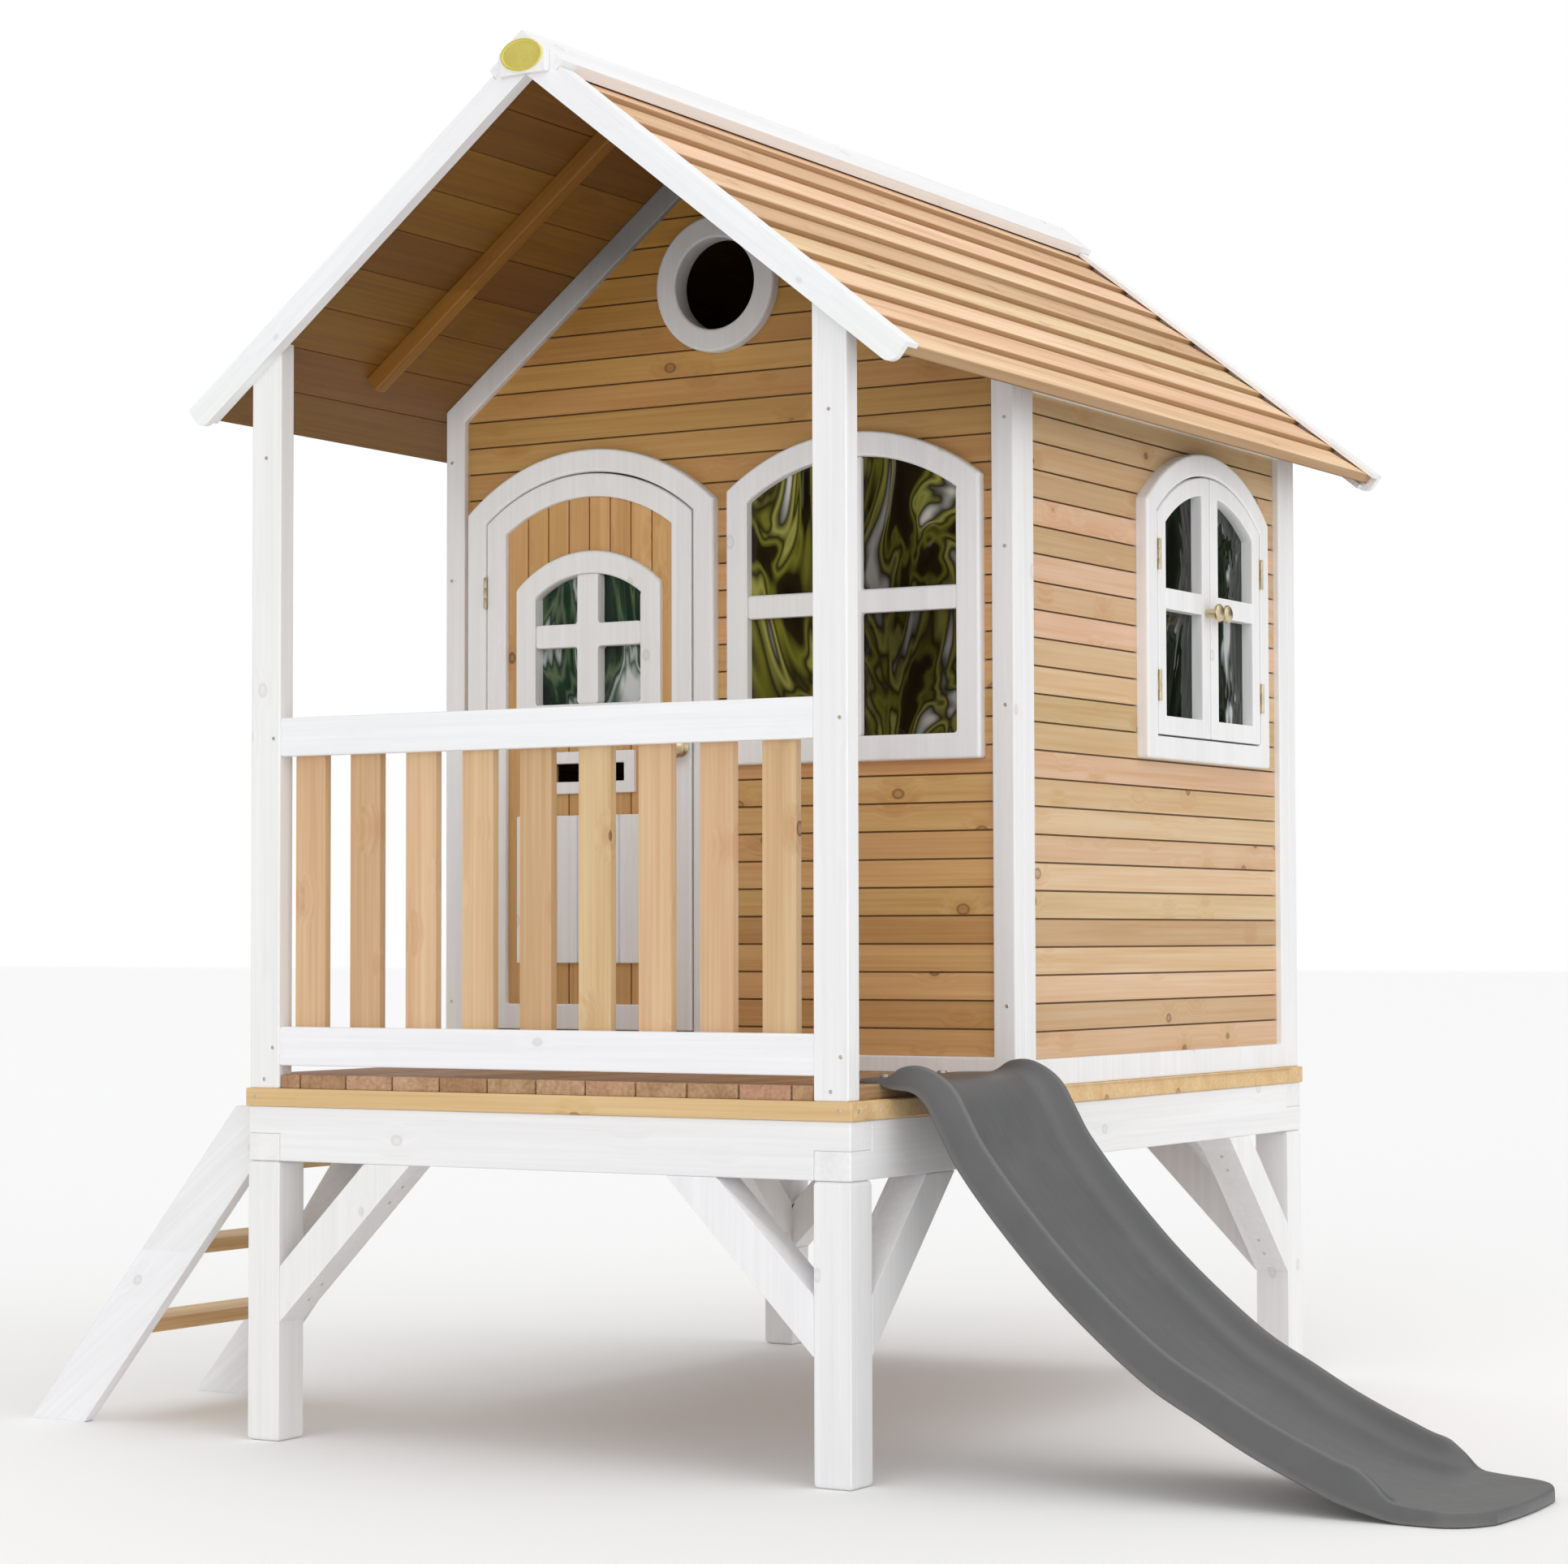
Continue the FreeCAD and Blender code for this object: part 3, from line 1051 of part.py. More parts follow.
# ---------------------------------------------------------------- roof
def build_roof():
    boards_front = roof_front + barge_plate
    boards_long = roof_rear - barge_plate - boards_front
    pitch = named("roof_pitch", eave_length / roof_board_count, "roof boards, one to the next")
    for side in SIDES:
        boards = []
        for i in range(int(roof_board_count.value)):
            high = pitch * i
            low = pitch * (i + 1) - roof_board_gap
            loop = [on_slope(side, high, 0), on_slope(side, high, roof_board_thin),
                    on_slope(side, low, roof_board_thick), on_slope(side, low, 0)]
            if side == "left":
                loop.reverse()
            loop.reverse()
            boards.append(prism(f"{side} roof board {i + 1}", "XZ", boards_front, boards_long, loop))
        part(f"roof_boards_{side}", *boards)

    rafters = []
    for side in SIDES:
        loop = [at_ridge(0), on_slope(side, rafter_length, 0),
                on_slope(side, rafter_length, 0 - rafter_side), at_ridge(0 - rafter_side)]
        if side == "right":
            loop.reverse()
        rafters.append(prism(f"{side} rafter", "XZ", rafter_place - rafter_side / 2, rafter_side, loop))
    part("roof_rafters", *rafters)

    for end, plate_y, flange_y, sole_y in (
        ("front", roof_front, roof_front + barge_plate, roof_front + barge_plate),
        ("rear", roof_rear - barge_plate, roof_rear - barge_depth, roof_rear - barge_sole_depth),
    ):
        barges = []
        for side in SIDES:
            barges.append(barge_board(f"{end} {side} barge", side, plate_y, flange_y, sole_y))
        part(f"barge_boards_{end}", *barges)

    caps = []
    for side in SIDES:
        top = roof_board_thick + cap_thickness
        loop = [at_ridge(roof_board_thick), at_ridge(top),
                on_slope(side, cap_board, top), on_slope(side, cap_board, roof_board_thick)]
        if side == "right":
            loop.reverse()
        caps.append(prism(f"{side} cap", "XZ", roof_front, roof_rear - roof_front, loop))
    part("ridge_cap", *caps)

    half = block_width / 2
    shoulder = cap_top - half * slope_sin / slope_cos
    base = cap_top - block_height
    block = [(middle - half, base), (middle + half, base), (middle + half, shoulder),
             (middle, cap_top), (middle - half, shoulder)]
    part("ridge_end_block", prism("end block", "XZ", roof_front - block_thickness, block_thickness, block))
    oval = doc.addObject("Part::Ellipse", "plaque_outline")
    bind(oval, "MajorRadius", plaque_width / 2)
    bind(oval, "MinorRadius", plaque_height / 2)
    upright = FreeCAD.Rotation(FreeCAD.Vector(1, 0, 0), 90)
    oval.Placement = FreeCAD.Placement(FreeCAD.Vector(0, 0, 0), upright)
    bind(oval, "Placement.Base.x", middle)
    bind(oval, "Placement.Base.y", roof_front - block_thickness)
    bind(oval, "Placement.Base.z", base + plaque_foot + plaque_height / 2)
    plaque = doc.addObject("Part::Extrusion", "plaque")
    plaque.Base = oval
    plaque.DirMode = "Custom"
    plaque.Dir = FreeCAD.Vector(0, -1, 0)
    plaque.Solid = True
    bind(plaque, "LengthFwd", plaque_thickness)
    part("ridge_plaque", plaque)


def barge_board(name, side, plate_y, flange_y, sole_y):
    """An upright plate over the roof boards' ends, with a flange on top of them and one below."""
    cap_end = cap_board + cap_gap
    face_top = barge_face - barge_drop
    low = 0 - barge_drop
    round_start = barge_length - barge_end_round
    corner = [on_slope(side, round_start, low), on_slope(side, barge_length, low + barge_end_round)]
    plate = [
        at_ridge(low), corner[0] + (barge_end_round,), corner[1],
        on_slope(side, barge_length, face_top), on_slope(side, cap_end, face_top),
        on_slope(side, cap_end, roof_board_thick), at_ridge(roof_board_thick),
    ]
    flange = [
        on_slope(side, cap_end, roof_board_thick), on_slope(side, barge_length, roof_board_thick),
        on_slope(side, barge_length, face_top), on_slope(side, cap_end, face_top),
    ]
    sole = [at_ridge(low), on_slope(side, round_start, low),
            on_slope(side, round_start, low + barge_sole), at_ridge(low + barge_sole)]
    if side == "left":
        sole.reverse()
        plate = [at_ridge(low), at_ridge(roof_board_thick), on_slope(side, cap_end, roof_board_thick),
                 on_slope(side, cap_end, face_top), on_slope(side, barge_length, face_top),
                 corner[1] + (barge_end_round,), corner[0]]
        flange.reverse()
    upright = prism(name + " plate", "XZ", plate_y, barge_plate, plate)
    cover = prism(name + " flange", "XZ", flange_y, barge_depth - barge_plate, flange)
    covered = boolean("Fuse", name + " covered", upright, cover)
    foot = prism(name + " sole", "XZ", sole_y, barge_sole_depth - barge_plate, sole)
    return boolean("Fuse", name, covered, foot)


build_platform()
build_deck()
build_ladder()
build_slide()
build_porch()
build_gables()
build_side_walls()
build_door()
build_front_openings()
build_side_windows()
build_roof()
doc.recompute()


def check_and_write():
    """Refuse to write anything if any object failed, then write each sub-part's shape."""
    for thing in doc.Objects:
        if any(state in ("Invalid", "Error") for state in thing.State):
            raise RuntimeError(f"{thing.Label} failed: {thing.State}")
    for group in made:
        if group.Shape.isNull() or not group.Shape.isValid() or not group.Shape.Solids:
            raise RuntimeError(f"{group.Label} has no valid shape")
    for group in made:
        group.Shape.exportStep(f"parts/{group.Label}.step")
        print(group.Label, len(group.Shape.Solids), round(group.Shape.Volume / 1000), "cm3")


check_and_write()
print(len(made), "sub-parts")
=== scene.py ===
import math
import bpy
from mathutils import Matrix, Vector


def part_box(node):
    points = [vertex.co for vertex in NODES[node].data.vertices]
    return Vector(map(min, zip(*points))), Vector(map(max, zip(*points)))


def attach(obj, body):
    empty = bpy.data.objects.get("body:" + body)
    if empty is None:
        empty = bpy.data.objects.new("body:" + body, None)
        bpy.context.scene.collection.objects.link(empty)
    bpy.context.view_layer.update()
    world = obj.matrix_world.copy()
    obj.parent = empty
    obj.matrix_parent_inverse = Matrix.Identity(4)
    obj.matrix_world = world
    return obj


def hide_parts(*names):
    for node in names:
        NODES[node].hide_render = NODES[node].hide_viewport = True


bl_info = {
    "name": "Raised Garden Playhouse",
    "version": (1, 0, 0),
    "blender": (4, 5, 0),
    "location": "View3D > Sidebar > Playhouse",
    "description": "Finishes a raised timber playhouse with a porch, a ladder and a plastic slide",
    "category": "Object",
}

import bmesh
import bpy
from mathutils import Matrix, Vector

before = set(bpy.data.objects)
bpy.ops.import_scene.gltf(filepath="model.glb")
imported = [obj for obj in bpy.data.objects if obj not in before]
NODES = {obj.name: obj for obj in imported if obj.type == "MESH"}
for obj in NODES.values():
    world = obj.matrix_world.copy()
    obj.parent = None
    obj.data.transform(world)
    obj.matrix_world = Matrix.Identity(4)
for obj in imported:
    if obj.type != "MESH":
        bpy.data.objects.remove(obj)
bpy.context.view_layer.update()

# the platform's front left corner on the ground, and the middle of its width
DECK_LOW, DECK_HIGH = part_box("floor_frame")
CORNER = Vector((DECK_LOW.x, DECK_LOW.y, 0.0))
MIDDLE = CORNER.x + (DECK_HIGH.x - DECK_LOW.x) / 2
SIDES = ("left", "right")
ENDS = ("front", "rear")

# sizes that the finishes follow, in metres: the pitch of each kind of board, and the joints
ROOF_RISE, ROOF_RUN = 0.561, 0.714
ROOF_ANGLE = math.atan2(ROOF_RISE, ROOF_RUN)
RIDGE = Vector((MIDDLE, 0.0, 2.302))
WALL_BOARD_PITCH = 0.0484
ROOF_BOARD_PITCH = 0.09723
DOOR_BOARD_PITCH = 0.045
DECK_BOARD_PITCH = 0.0975
TREAD_PITCH = 0.145
BALUSTER_WIDTH = 0.063
BALUSTER_COUNT = 9
LEG_SIDE = 0.067
BRACE_SPAN = 0.275
GROUND_GAP = 0.0012


def rgb(*seen):
    """A colour given as seen on a screen, from 0 to 1, as a linear one."""
    return tuple(c / 12.92 if c <= 0.04045 else ((c + 0.055) / 1.055) ** 2.4 for c in seen)


def is_pane(name):
    """Whether a frame node is one of the clear sheets."""
    return "pane" in name and name != "door_lower_panel"


def down_slope(side):
    """The way down the roof on one side."""
    sign = -1 if side == "left" else 1
    return Vector((sign * math.cos(ROOF_ANGLE), 0.0, -math.sin(ROOF_ANGLE)))


# ------------------------------------------------------------------ settings
def colour_setting(name, note, value):
    return bpy.props.FloatVectorProperty(
        name=name, description=note, subtype="COLOR", size=3, min=0.0, max=1.0, default=rgb(*value))


def length_setting(name, note, value):
    return bpy.props.FloatProperty(name=name, description=note, subtype="DISTANCE", unit="LENGTH",
                                   default=value, min=0.0)


class PlayhouseColours(bpy.types.PropertyGroup):
    white: colour_setting("White stain", "Semi-opaque stain on the frames", (0.950, 0.950, 0.955))
    white_shade: colour_setting("White grain", "Grain that shows through it", (0.90, 0.90, 0.905))
    porch_honey: colour_setting("Porch boards", "Cladding under the porch roof", (0.85, 0.685, 0.455))
    porch_amber: colour_setting("Porch grain", "Grain of that cladding", (0.775, 0.575, 0.345))
    side_honey: colour_setting("Side boards", "Cladding on the other walls", (0.86, 0.745, 0.60))
    side_amber: colour_setting("Side grain", "Grain of that cladding", (0.81, 0.645, 0.46))
    roof_pale: colour_setting("Roof boards", "Roof boards from above", (0.955, 0.82, 0.66))
    roof_amber: colour_setting("Roof grain", "Grain and edges of the roof", (0.80, 0.59, 0.40))
    pine: colour_setting("Clear pine", "Balusters", (0.86, 0.735, 0.575))
    pine_shade: colour_setting("Clear pine grain", "Their grain", (0.79, 0.63, 0.455))
    deck: colour_setting("Deck", "Deck boards", (0.76, 0.61, 0.47))
    deck_shade: colour_setting("Deck grain", "Their grain", (0.60, 0.44, 0.30))
    trim: colour_setting("Floor frame", "Yellow stained floor frame", (0.89, 0.78, 0.59))
    trim_shade: colour_setting("Floor frame grain", "Its grain", (0.80, 0.62, 0.39))
    slide: colour_setting("Slide", "Moulded plastic", (0.358, 0.360, 0.364))
    slide_worn: colour_setting("Slide edges", "Scuffed edges of the plastic", (0.47, 0.47, 0.47))
    brass: colour_setting("Brass", "Hinges and knobs", (0.86, 0.80, 0.66))
    plaque: colour_setting("Plaque", "Gilt oval plaque", (0.93, 0.87, 0.46))


class PlayhouseSizes(bpy.types.PropertyGroup):
    timber_round: length_setting("Timber edges", "Round on sawn edges", 0.0025)
    leg_round: length_setting("Leg edges", "Round on the legs' corners", 0.007)
    board_round: length_setting("Board edges", "Round on the cladding's edges", 0.0012)
    slide_wall: length_setting("Slide wall", "Thickness of the plastic", 0.005)
    screw_head: length_setting("Screw heads", "Radius of a screw head", 0.0033)


# ------------------------------------------------------------------ shader helpers
def new_group(name, inputs, outputs):
    """A node group with named sockets: returns the tree and its input and output nodes."""
    tree = bpy.data.node_groups.new(name, "ShaderNodeTree")
    kinds = {"vector": "NodeSocketVector", "value": "NodeSocketFloat", "colour": "NodeSocketColor"}
    for label, kind, start in inputs:
        socket = tree.interface.new_socket(name=label, in_out="INPUT", socket_type=kinds[kind])
        if start is not None:
            socket.default_value = start
    for label, kind in outputs:
        tree.interface.new_socket(name=label, in_out="OUTPUT", socket_type=kinds[kind])
    return tree, tree.nodes.new("NodeGroupInput"), tree.nodes.new("NodeGroupOutput")


def feed(tree, socket, value):
    """Link a socket to the one that feeds it, or set its own value."""
    if isinstance(value, bpy.types.NodeSocket):
        tree.links.new(value, socket)
    else:
        socket.default_value = value


def node(tree, kind, values=None, **settings):
    """A new node with its settings, and with its inputs fed by sockets or by values."""
    made = tree.nodes.new(kind)
    for key, value in settings.items():
        setattr(made, key, value)
    for key, value in (values or {}).items():
        feed(tree, made.inputs[key], value)
    return made


def maths(tree, operation, first, second=None, clamp=False):
    """The result of one sum, of numbers or of sockets."""
    made = node(tree, "ShaderNodeMath", {0: first}, operation=operation, use_clamp=clamp)
    if second is not None:
        feed(tree, made.inputs[1], second)
    return made.outputs[0]


def plus(tree, first, second, clamp=False):
    return maths(tree, "ADD", first, second, clamp)


def minus(tree, first, second, clamp=False):
    return maths(tree, "SUBTRACT", first, second, clamp)


def times(tree, first, second, clamp=False):
    return maths(tree, "MULTIPLY", first, second, clamp)


def over(tree, first, second):
    return maths(tree, "DIVIDE", first, second)


def blend_colours(tree, factor, first, second, mode="MIX"):
    made = node(tree, "ShaderNodeMix", {0: factor}, data_type="RGBA", blend_type=mode)
    for i, value in ((6, first), (7, second)):
        linked = isinstance(value, bpy.types.NodeSocket)
        feed(tree, made.inputs[i], value if linked else (*value[:3], 1.0))
    return made.outputs[2]


def ramp_between(tree, value, low, high, start=0.0, end=1.0):
    return node(tree, "ShaderNodeMapRange", {"Value": value, "From Min": low, "From Max": high,
                                             "To Min": start, "To Max": end}).outputs[0]


def noise(tree, place, scale, detail=2.0, **more):
    """A noise pattern's value at a place."""
    values = {"Vector": place, "Scale": scale, "Detail": detail, **more}
    return node(tree, "ShaderNodeTexNoise", values).outputs["Fac"]


def stretched(tree, place, scale):
    """A place scaled along each axis, to draw a pattern out."""
    return node(tree, "ShaderNodeMapping", {"Vector": place, "Scale": scale}).outputs[0]


def reach_along(tree, place, way):
    """How far a place lies along a direction."""
    made = node(tree, "ShaderNodeVectorMath", {0: place, 1: way}, operation="DOT_PRODUCT")
    return made.outputs["Value"]


def share_of_pitch(tree, reach, start, pitch):
    """Where a place lies within its own board, from 0 to 1."""
    return maths(tree, "FRACT", over(tree, minus(tree, reach, start), pitch))


def pine_figure():
    """Softwood whose boards run along X: slow figure, fine fibre, pale streaks and knots."""
    tree, start, end = new_group(
        "pine_figure",
        [("Vector", "vector", None), ("Board", "value", 0.0), ("Knots", "value", 1.0)],
        [("Figure", "value"), ("Fibre", "value"), ("Ring", "value")])
    board, knots = start.outputs["Board"], start.outputs["Knots"]
    # each board is cut from another part of the log
    slip = node(tree, "ShaderNodeCombineXYZ", {
        "X": times(tree, board, 7.3), "Y": times(tree, board, 3.1), "Z": times(tree, board, 5.7)})
    moved = node(tree, "ShaderNodeVectorMath", {0: start.outputs["Vector"], 1: slip.outputs[0]},
                 operation="ADD").outputs[0]
    spots = stretched(tree, moved, (0.75, 1.0, 1.0))
    cells = node(tree, "ShaderNodeTexVoronoi", {"Vector": spots, "Scale": 9.0},
                 feature="F1").outputs["Distance"]
    knot = times(tree, ramp_between(tree, cells, 0.100, 0.080), knots, clamp=True)
    core = times(tree, ramp_between(tree, cells, 0.070, 0.050), knots, clamp=True)
    ring = minus(tree, knot, times(tree, core, 0.55), clamp=True)
    halo = times(tree, ramp_between(tree, cells, 0.34, 0.10), knots, clamp=True)
    # the grain bends round each knot
    bend = times(tree, halo, 0.016)
    aside = node(tree, "ShaderNodeCombineXYZ", {"Y": bend, "Z": bend}).outputs[0]
    bent = node(tree, "ShaderNodeVectorMath", {0: moved, 1: aside}, operation="ADD").outputs[0]
    figure = noise(tree, stretched(tree, bent, (1.1, 24.0, 24.0)), 1.0, 3.0,
                   Roughness=0.55, Distortion=0.35)
    streak = noise(tree, stretched(tree, bent, (2.2, 150.0, 150.0)), 1.0)
    fibre = noise(tree, stretched(tree, bent, (9.0, 700.0, 700.0)), 1.0)
    total = plus(tree, times(tree, figure, 0.55), times(tree, streak, 0.45))
    total = plus(tree, total, times(tree, halo, 0.12), clamp=True)
    for label, value in (("Figure", total), ("Fibre", fibre), ("Ring", ring)):
        tree.links.new(value, end.inputs[label])
    return tree


def board_number():
    """A random value for each board of a row, from the distance across the row."""
    tree, start, end = new_group(
        "board_number",
        [("Across", "value", 0.0), ("Pitch", "value", 0.05), ("Start", "value", 0.0)],
        [("Board", "value")])
    reach = minus(tree, start.outputs["Across"], start.outputs["Start"])
    count = maths(tree, "FLOOR", over(tree, reach, start.outputs["Pitch"]))
    board = node(tree, "ShaderNodeTexWhiteNoise", {"W": count}, noise_dimensions="1D")
    tree.links.new(board.outputs["Value"], end.inputs["Board"])
    return tree


def weathering():
    """Soft patches of dust and handling, for any finish."""
    tree, start, end = new_group(
        "weathering", [("Vector", "vector", None), ("Scale", "value", 3.0)],
        [("Patch", "value"), ("Speck", "value")])
    place = start.outputs["Vector"]
    wide = noise(tree, place, start.outputs["Scale"], 4.0, Roughness=0.6)
    small = noise(tree, place, 240.0)
    tree.links.new(ramp_between(tree, wide, 0.45, 0.75), end.inputs["Patch"])
    tree.links.new(ramp_between(tree, small, 0.66, 0.76), end.inputs["Speck"])
    return tree


GROUPS = {}


def shared(name):
    """The shared node group of this name, made once."""
    makers = {"pine_figure": pine_figure, "board_number": board_number, "weathering": weathering}
    if name not in GROUPS:
        GROUPS[name] = makers[name]()
    return GROUPS[name]


def use_group(tree, name, values):
    return node(tree, "ShaderNodeGroup", values, node_tree=shared(name))


def new_material(name):
    material = bpy.data.materials.new(name)
    material.use_nodes = True
    tree = material.node_tree
    return material, tree, tree.nodes["Principled BSDF"]


def object_place(tree):
    return node(tree, "ShaderNodeTexCoord").outputs["Object"]


def split(tree, vector):
    """A node that gives a vector's X, Y and Z."""
    return node(tree, "ShaderNodeSeparateXYZ", {"Vector": vector})


GRAIN_TURNS = {
    "X": (0.0, 0.0, 0.0),
    "Y": (0.0, 0.0, math.radians(-90)),
    "Z": (0.0, math.radians(90), 0.0),
    "rising": (0.0, ROOF_ANGLE, 0.0),
    "slopes": (0.0, -ROOF_ANGLE, 0.0),
}


def mirrored_place(tree, place):
    """The place with the left half of the object laid over its right half."""
    parts = split(tree, place)
    off = maths(tree, "ABSOLUTE", minus(tree, parts.outputs["X"], MIDDLE))
    return node(tree, "ShaderNodeCombineXYZ", {
        "X": off, "Y": parts.outputs["Y"], "Z": parts.outputs["Z"]}).outputs[0]


def wood(name, light, dark, grain="X", across="Z", pitch=0.5, start=0.0, tone=0.10, knots=1.0,
         knot_colour=(0.36, 0.20, 0.10), contrast=1.0, rough=0.55, bump=0.25):
    """A stained softwood whose boards lie in a row at the pitch, each with its own grain and tone.

    The row runs across X, Y or Z, or down the left or right side of the roof.
    """
    material, tree, shader = new_material(name)
    place = object_place(tree)
    lay = mirrored_place(tree, place) if grain == "slopes" else place
    turned = node(tree, "ShaderNodeMapping", {"Vector": lay, "Rotation": GRAIN_TURNS[grain]}).outputs[0]
    if across in SIDES:
        reach = reach_along(tree, place, down_slope(across))
    else:
        reach = split(tree, place).outputs[across]
    board = use_group(tree, "board_number", {
        "Across": reach, "Pitch": pitch, "Start": start}).outputs["Board"]
    figure = use_group(tree, "pine_figure", {"Vector": turned, "Board": board, "Knots": knots})
    spread = times(tree, ramp_between(tree, figure.outputs["Figure"], 0.36, 0.66), contrast, clamp=True)
    colour = blend_colours(tree, spread, light, dark)
    # each board is a little darker, rosier or more golden than the next
    tint = ramp_between(tree, board, 0.0, 1.0, 1.0 - tone, 1.0 + tone * 0.4)
    other = maths(tree, "FRACT", times(tree, board, 7.31))
    rosy = times(tree, tint, ramp_between(tree, other, 0.0, 1.0, 1.0 - tone * 0.3, 1.0 + tone * 0.3))
    warm = times(tree, tint, ramp_between(tree, board, 0.0, 1.0, 1.0 - tone * 0.7, 1.0 + tone * 0.6))
    tinge = node(tree, "ShaderNodeCombineColor", {0: tint, 1: rosy, 2: warm}).outputs[0]
    colour = blend_colours(tree, 1.0, colour, tinge, "MULTIPLY")
    ring = figure.outputs["Ring"]
    colour = blend_colours(tree, times(tree, ring, 0.8), colour, rgb(*knot_colour))
    age = use_group(tree, "weathering", {"Vector": place, "Scale": 2.5})
    colour = blend_colours(tree, times(tree, age.outputs["Patch"], 0.12 * contrast), colour, dark)
    tree.links.new(colour, shader.inputs["Base Color"])
    fibre = figure.outputs["Fibre"]
    roughness = ramp_between(tree, fibre, 0.2, 0.8, rough - 0.08, rough + 0.1)
    tree.links.new(roughness, shader.inputs["Roughness"])
    height = minus(tree, fibre, times(tree, ring, 0.6))
    lift = node(tree, "ShaderNodeBump", {"Height": height, "Strength": bump, "Distance": 0.0008})
    tree.links.new(lift.outputs[0], shader.inputs["Normal"])
    return material


def colours():
    return bpy.context.scene.playhouse_colours


def sizes():
    return bpy.context.scene.playhouse_sizes


MATERIALS = {}


def white_stain(grain, across="Z"):
    """White stain over pine, with the grain along one direction."""
    key = f"white_stain_{grain}_{across}"
    if key not in MATERIALS:
        MATERIALS[key] = wood(key, colours().white, colours().white_shade, grain=grain, across=across,
                              pitch=0.31, tone=0.03, knots=0.35, knot_colour=(0.66, 0.64, 0.60),
                              contrast=0.75, rough=0.5, bump=0.3)
    return MATERIALS[key]


def paint(name, material):
    """Give a frame node its finish."""
    thing = NODES[name]
    if not thing.data.materials:
        thing.data.materials.append(material)
    for i in range(len(thing.data.materials)):
        thing.data.materials[i] = material


def deselect():
    for thing in bpy.context.selected_objects:
        thing.select_set(False)


def soften(thing, width, segments=2, angle=32):
    """Weld a node's loose triangles and round its edges, as modifiers."""
    weld = thing.modifiers.new("weld", "WELD")
    weld.merge_threshold = 0.00002
    bevel = thing.modifiers.new("round edges", "BEVEL")
    bevel.width = width
    bevel.segments = segments
    bevel.limit_method = "ANGLE"
    bevel.angle_limit = math.radians(angle)
    bevel.use_clamp_overlap = True
    bevel.harden_normals = False


# ------------------------------------------------------------------ timber
class PLAYHOUSE_OT_round_timber(bpy.types.Operator):
    """Round the sawn edges of every timber piece"""
    bl_idname = "playhouse.round_timber"
    bl_label = "Round Timber Edges"

    def execute(self, context):
        size = sizes()
        thin = [n for n in NODES if n.endswith("wall_boards") or n == "door_boards"]
        skip = {"slide_chute", "slide_bolts", "ridge_plaque", "door_knob"}
        for name, thing in NODES.items():
            if name in skip or is_pane(name):
                continue
            if name in thin:
                soften(thing, size.board_round, 2)
            elif name == "ridge_cap":
                soften(thing, 0.0003, 1)
            elif name == "legs":
                soften(thing, size.leg_round, 3)
            elif "hinge" in name or "fittings" in name:
                soften(thing, 0.0005, 1)
            elif name in ("porthole_ring", "front_window_frame", "door_surround", "door_window_frame",
                          "right_window_surround", "left_window_surround"):
                soften(thing, 0.005, 3)
            elif name.startswith("roof_boards") or name == "door_lower_panel":
                soften(thing, 0.0018, 2)
            else:
                soften(thing, size.timber_round, 2)
        return {"FINISHED"}


class PLAYHOUSE_OT_white_frames(bpy.types.Operator):
    """Stain the frames white, with the grain along each piece"""
    bl_idname = "playhouse.white_frames"
    bl_label = "White Frames"

    def execute(self, context):
        along = {
            "X": ["beams_front_rear", "porch_rails"],
            "Y": ["beams_left_right", "ridge_cap"],
            "Z": ["legs", "porch_post_left", "porch_post_right", "front_wall_frame", "rear_wall_frame",
                  "left_wall_frame", "right_wall_frame", "door_surround", "door_leaf_frame",
                  "door_window_frame", "front_window_frame", "letter_plate", "door_lower_panel",
                  "ridge_end_block", "porthole_ring", "knee_braces"],
            "rising": ["ladder_stringers"],
            "slopes": ["barge_boards_front", "barge_boards_rear"],
        }
        for side in SIDES:
            along["Z"].append(f"{side}_window_surround")
            along["Z"] += [f"{side}_casement_{end}" for end in ENDS]
        for grain, names in along.items():
            for name in names:
                across = "X" if grain in ("Z", "Y") else "Z"
                paint(name, white_stain(grain, across))
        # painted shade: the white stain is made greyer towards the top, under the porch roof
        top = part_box("front_wall_frame")[1].z
        for name, grey, levels in (
            ("front_wall_frame", 0.28, (top - 0.50, top - 0.20)),
            ("porthole_ring", 0.62, (top - 0.60, top - 0.20)),
        ):
            stain = white_stain("Z", "X").copy()
            stain.name = f"shaded_{name}"
            paint_shade(stain, (grey, grey, grey), levels)
            paint(name, stain)
        return {"FINISHED"}


class PLAYHOUSE_OT_honey_boards(bpy.types.Operator):
    """Stain the cladding and the door boards in honey tones"""
    bl_idname = "playhouse.honey_boards"
    bl_label = "Honey Boards"

    def execute(self, context):
        tones = colours()
        for name, grain, light, dark in (
            ("front_wall_boards", "X", tones.porch_honey, tones.porch_amber),
            ("rear_wall_boards", "X", tones.side_honey, tones.side_amber),
            ("left_wall_boards", "Y", tones.side_honey, tones.side_amber),
            ("right_wall_boards", "Y", tones.side_honey, tones.side_amber),
        ):
            foot, top = (corner.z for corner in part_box(name))
            stain = wood(f"{name}_stain", light, dark, grain=grain, pitch=WALL_BOARD_PITCH,
                         start=foot, tone=0.19, knots=0.8, rough=0.5)
            if name == "front_wall_boards":
                # painted shade: the front wall's boards are darkened towards the top, under the porch
                # roof
                paint_shade(stain, (0.64, 0.54, 0.22), (top - 0.80, top - 0.15))
            edge_grooves(stain, foot, WALL_BOARD_PITCH, dark)
            paint(name, stain)
        low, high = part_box("door_boards")
        centre = (low.x + high.x) / 2
        paint("door_boards", wood("door_board_stain", tones.porch_honey, tones.porch_amber, grain="Z",
                                  across="X", pitch=DOOR_BOARD_PITCH, start=centre, tone=0.12,
                                  knots=0.9))
        return {"FINISHED"}


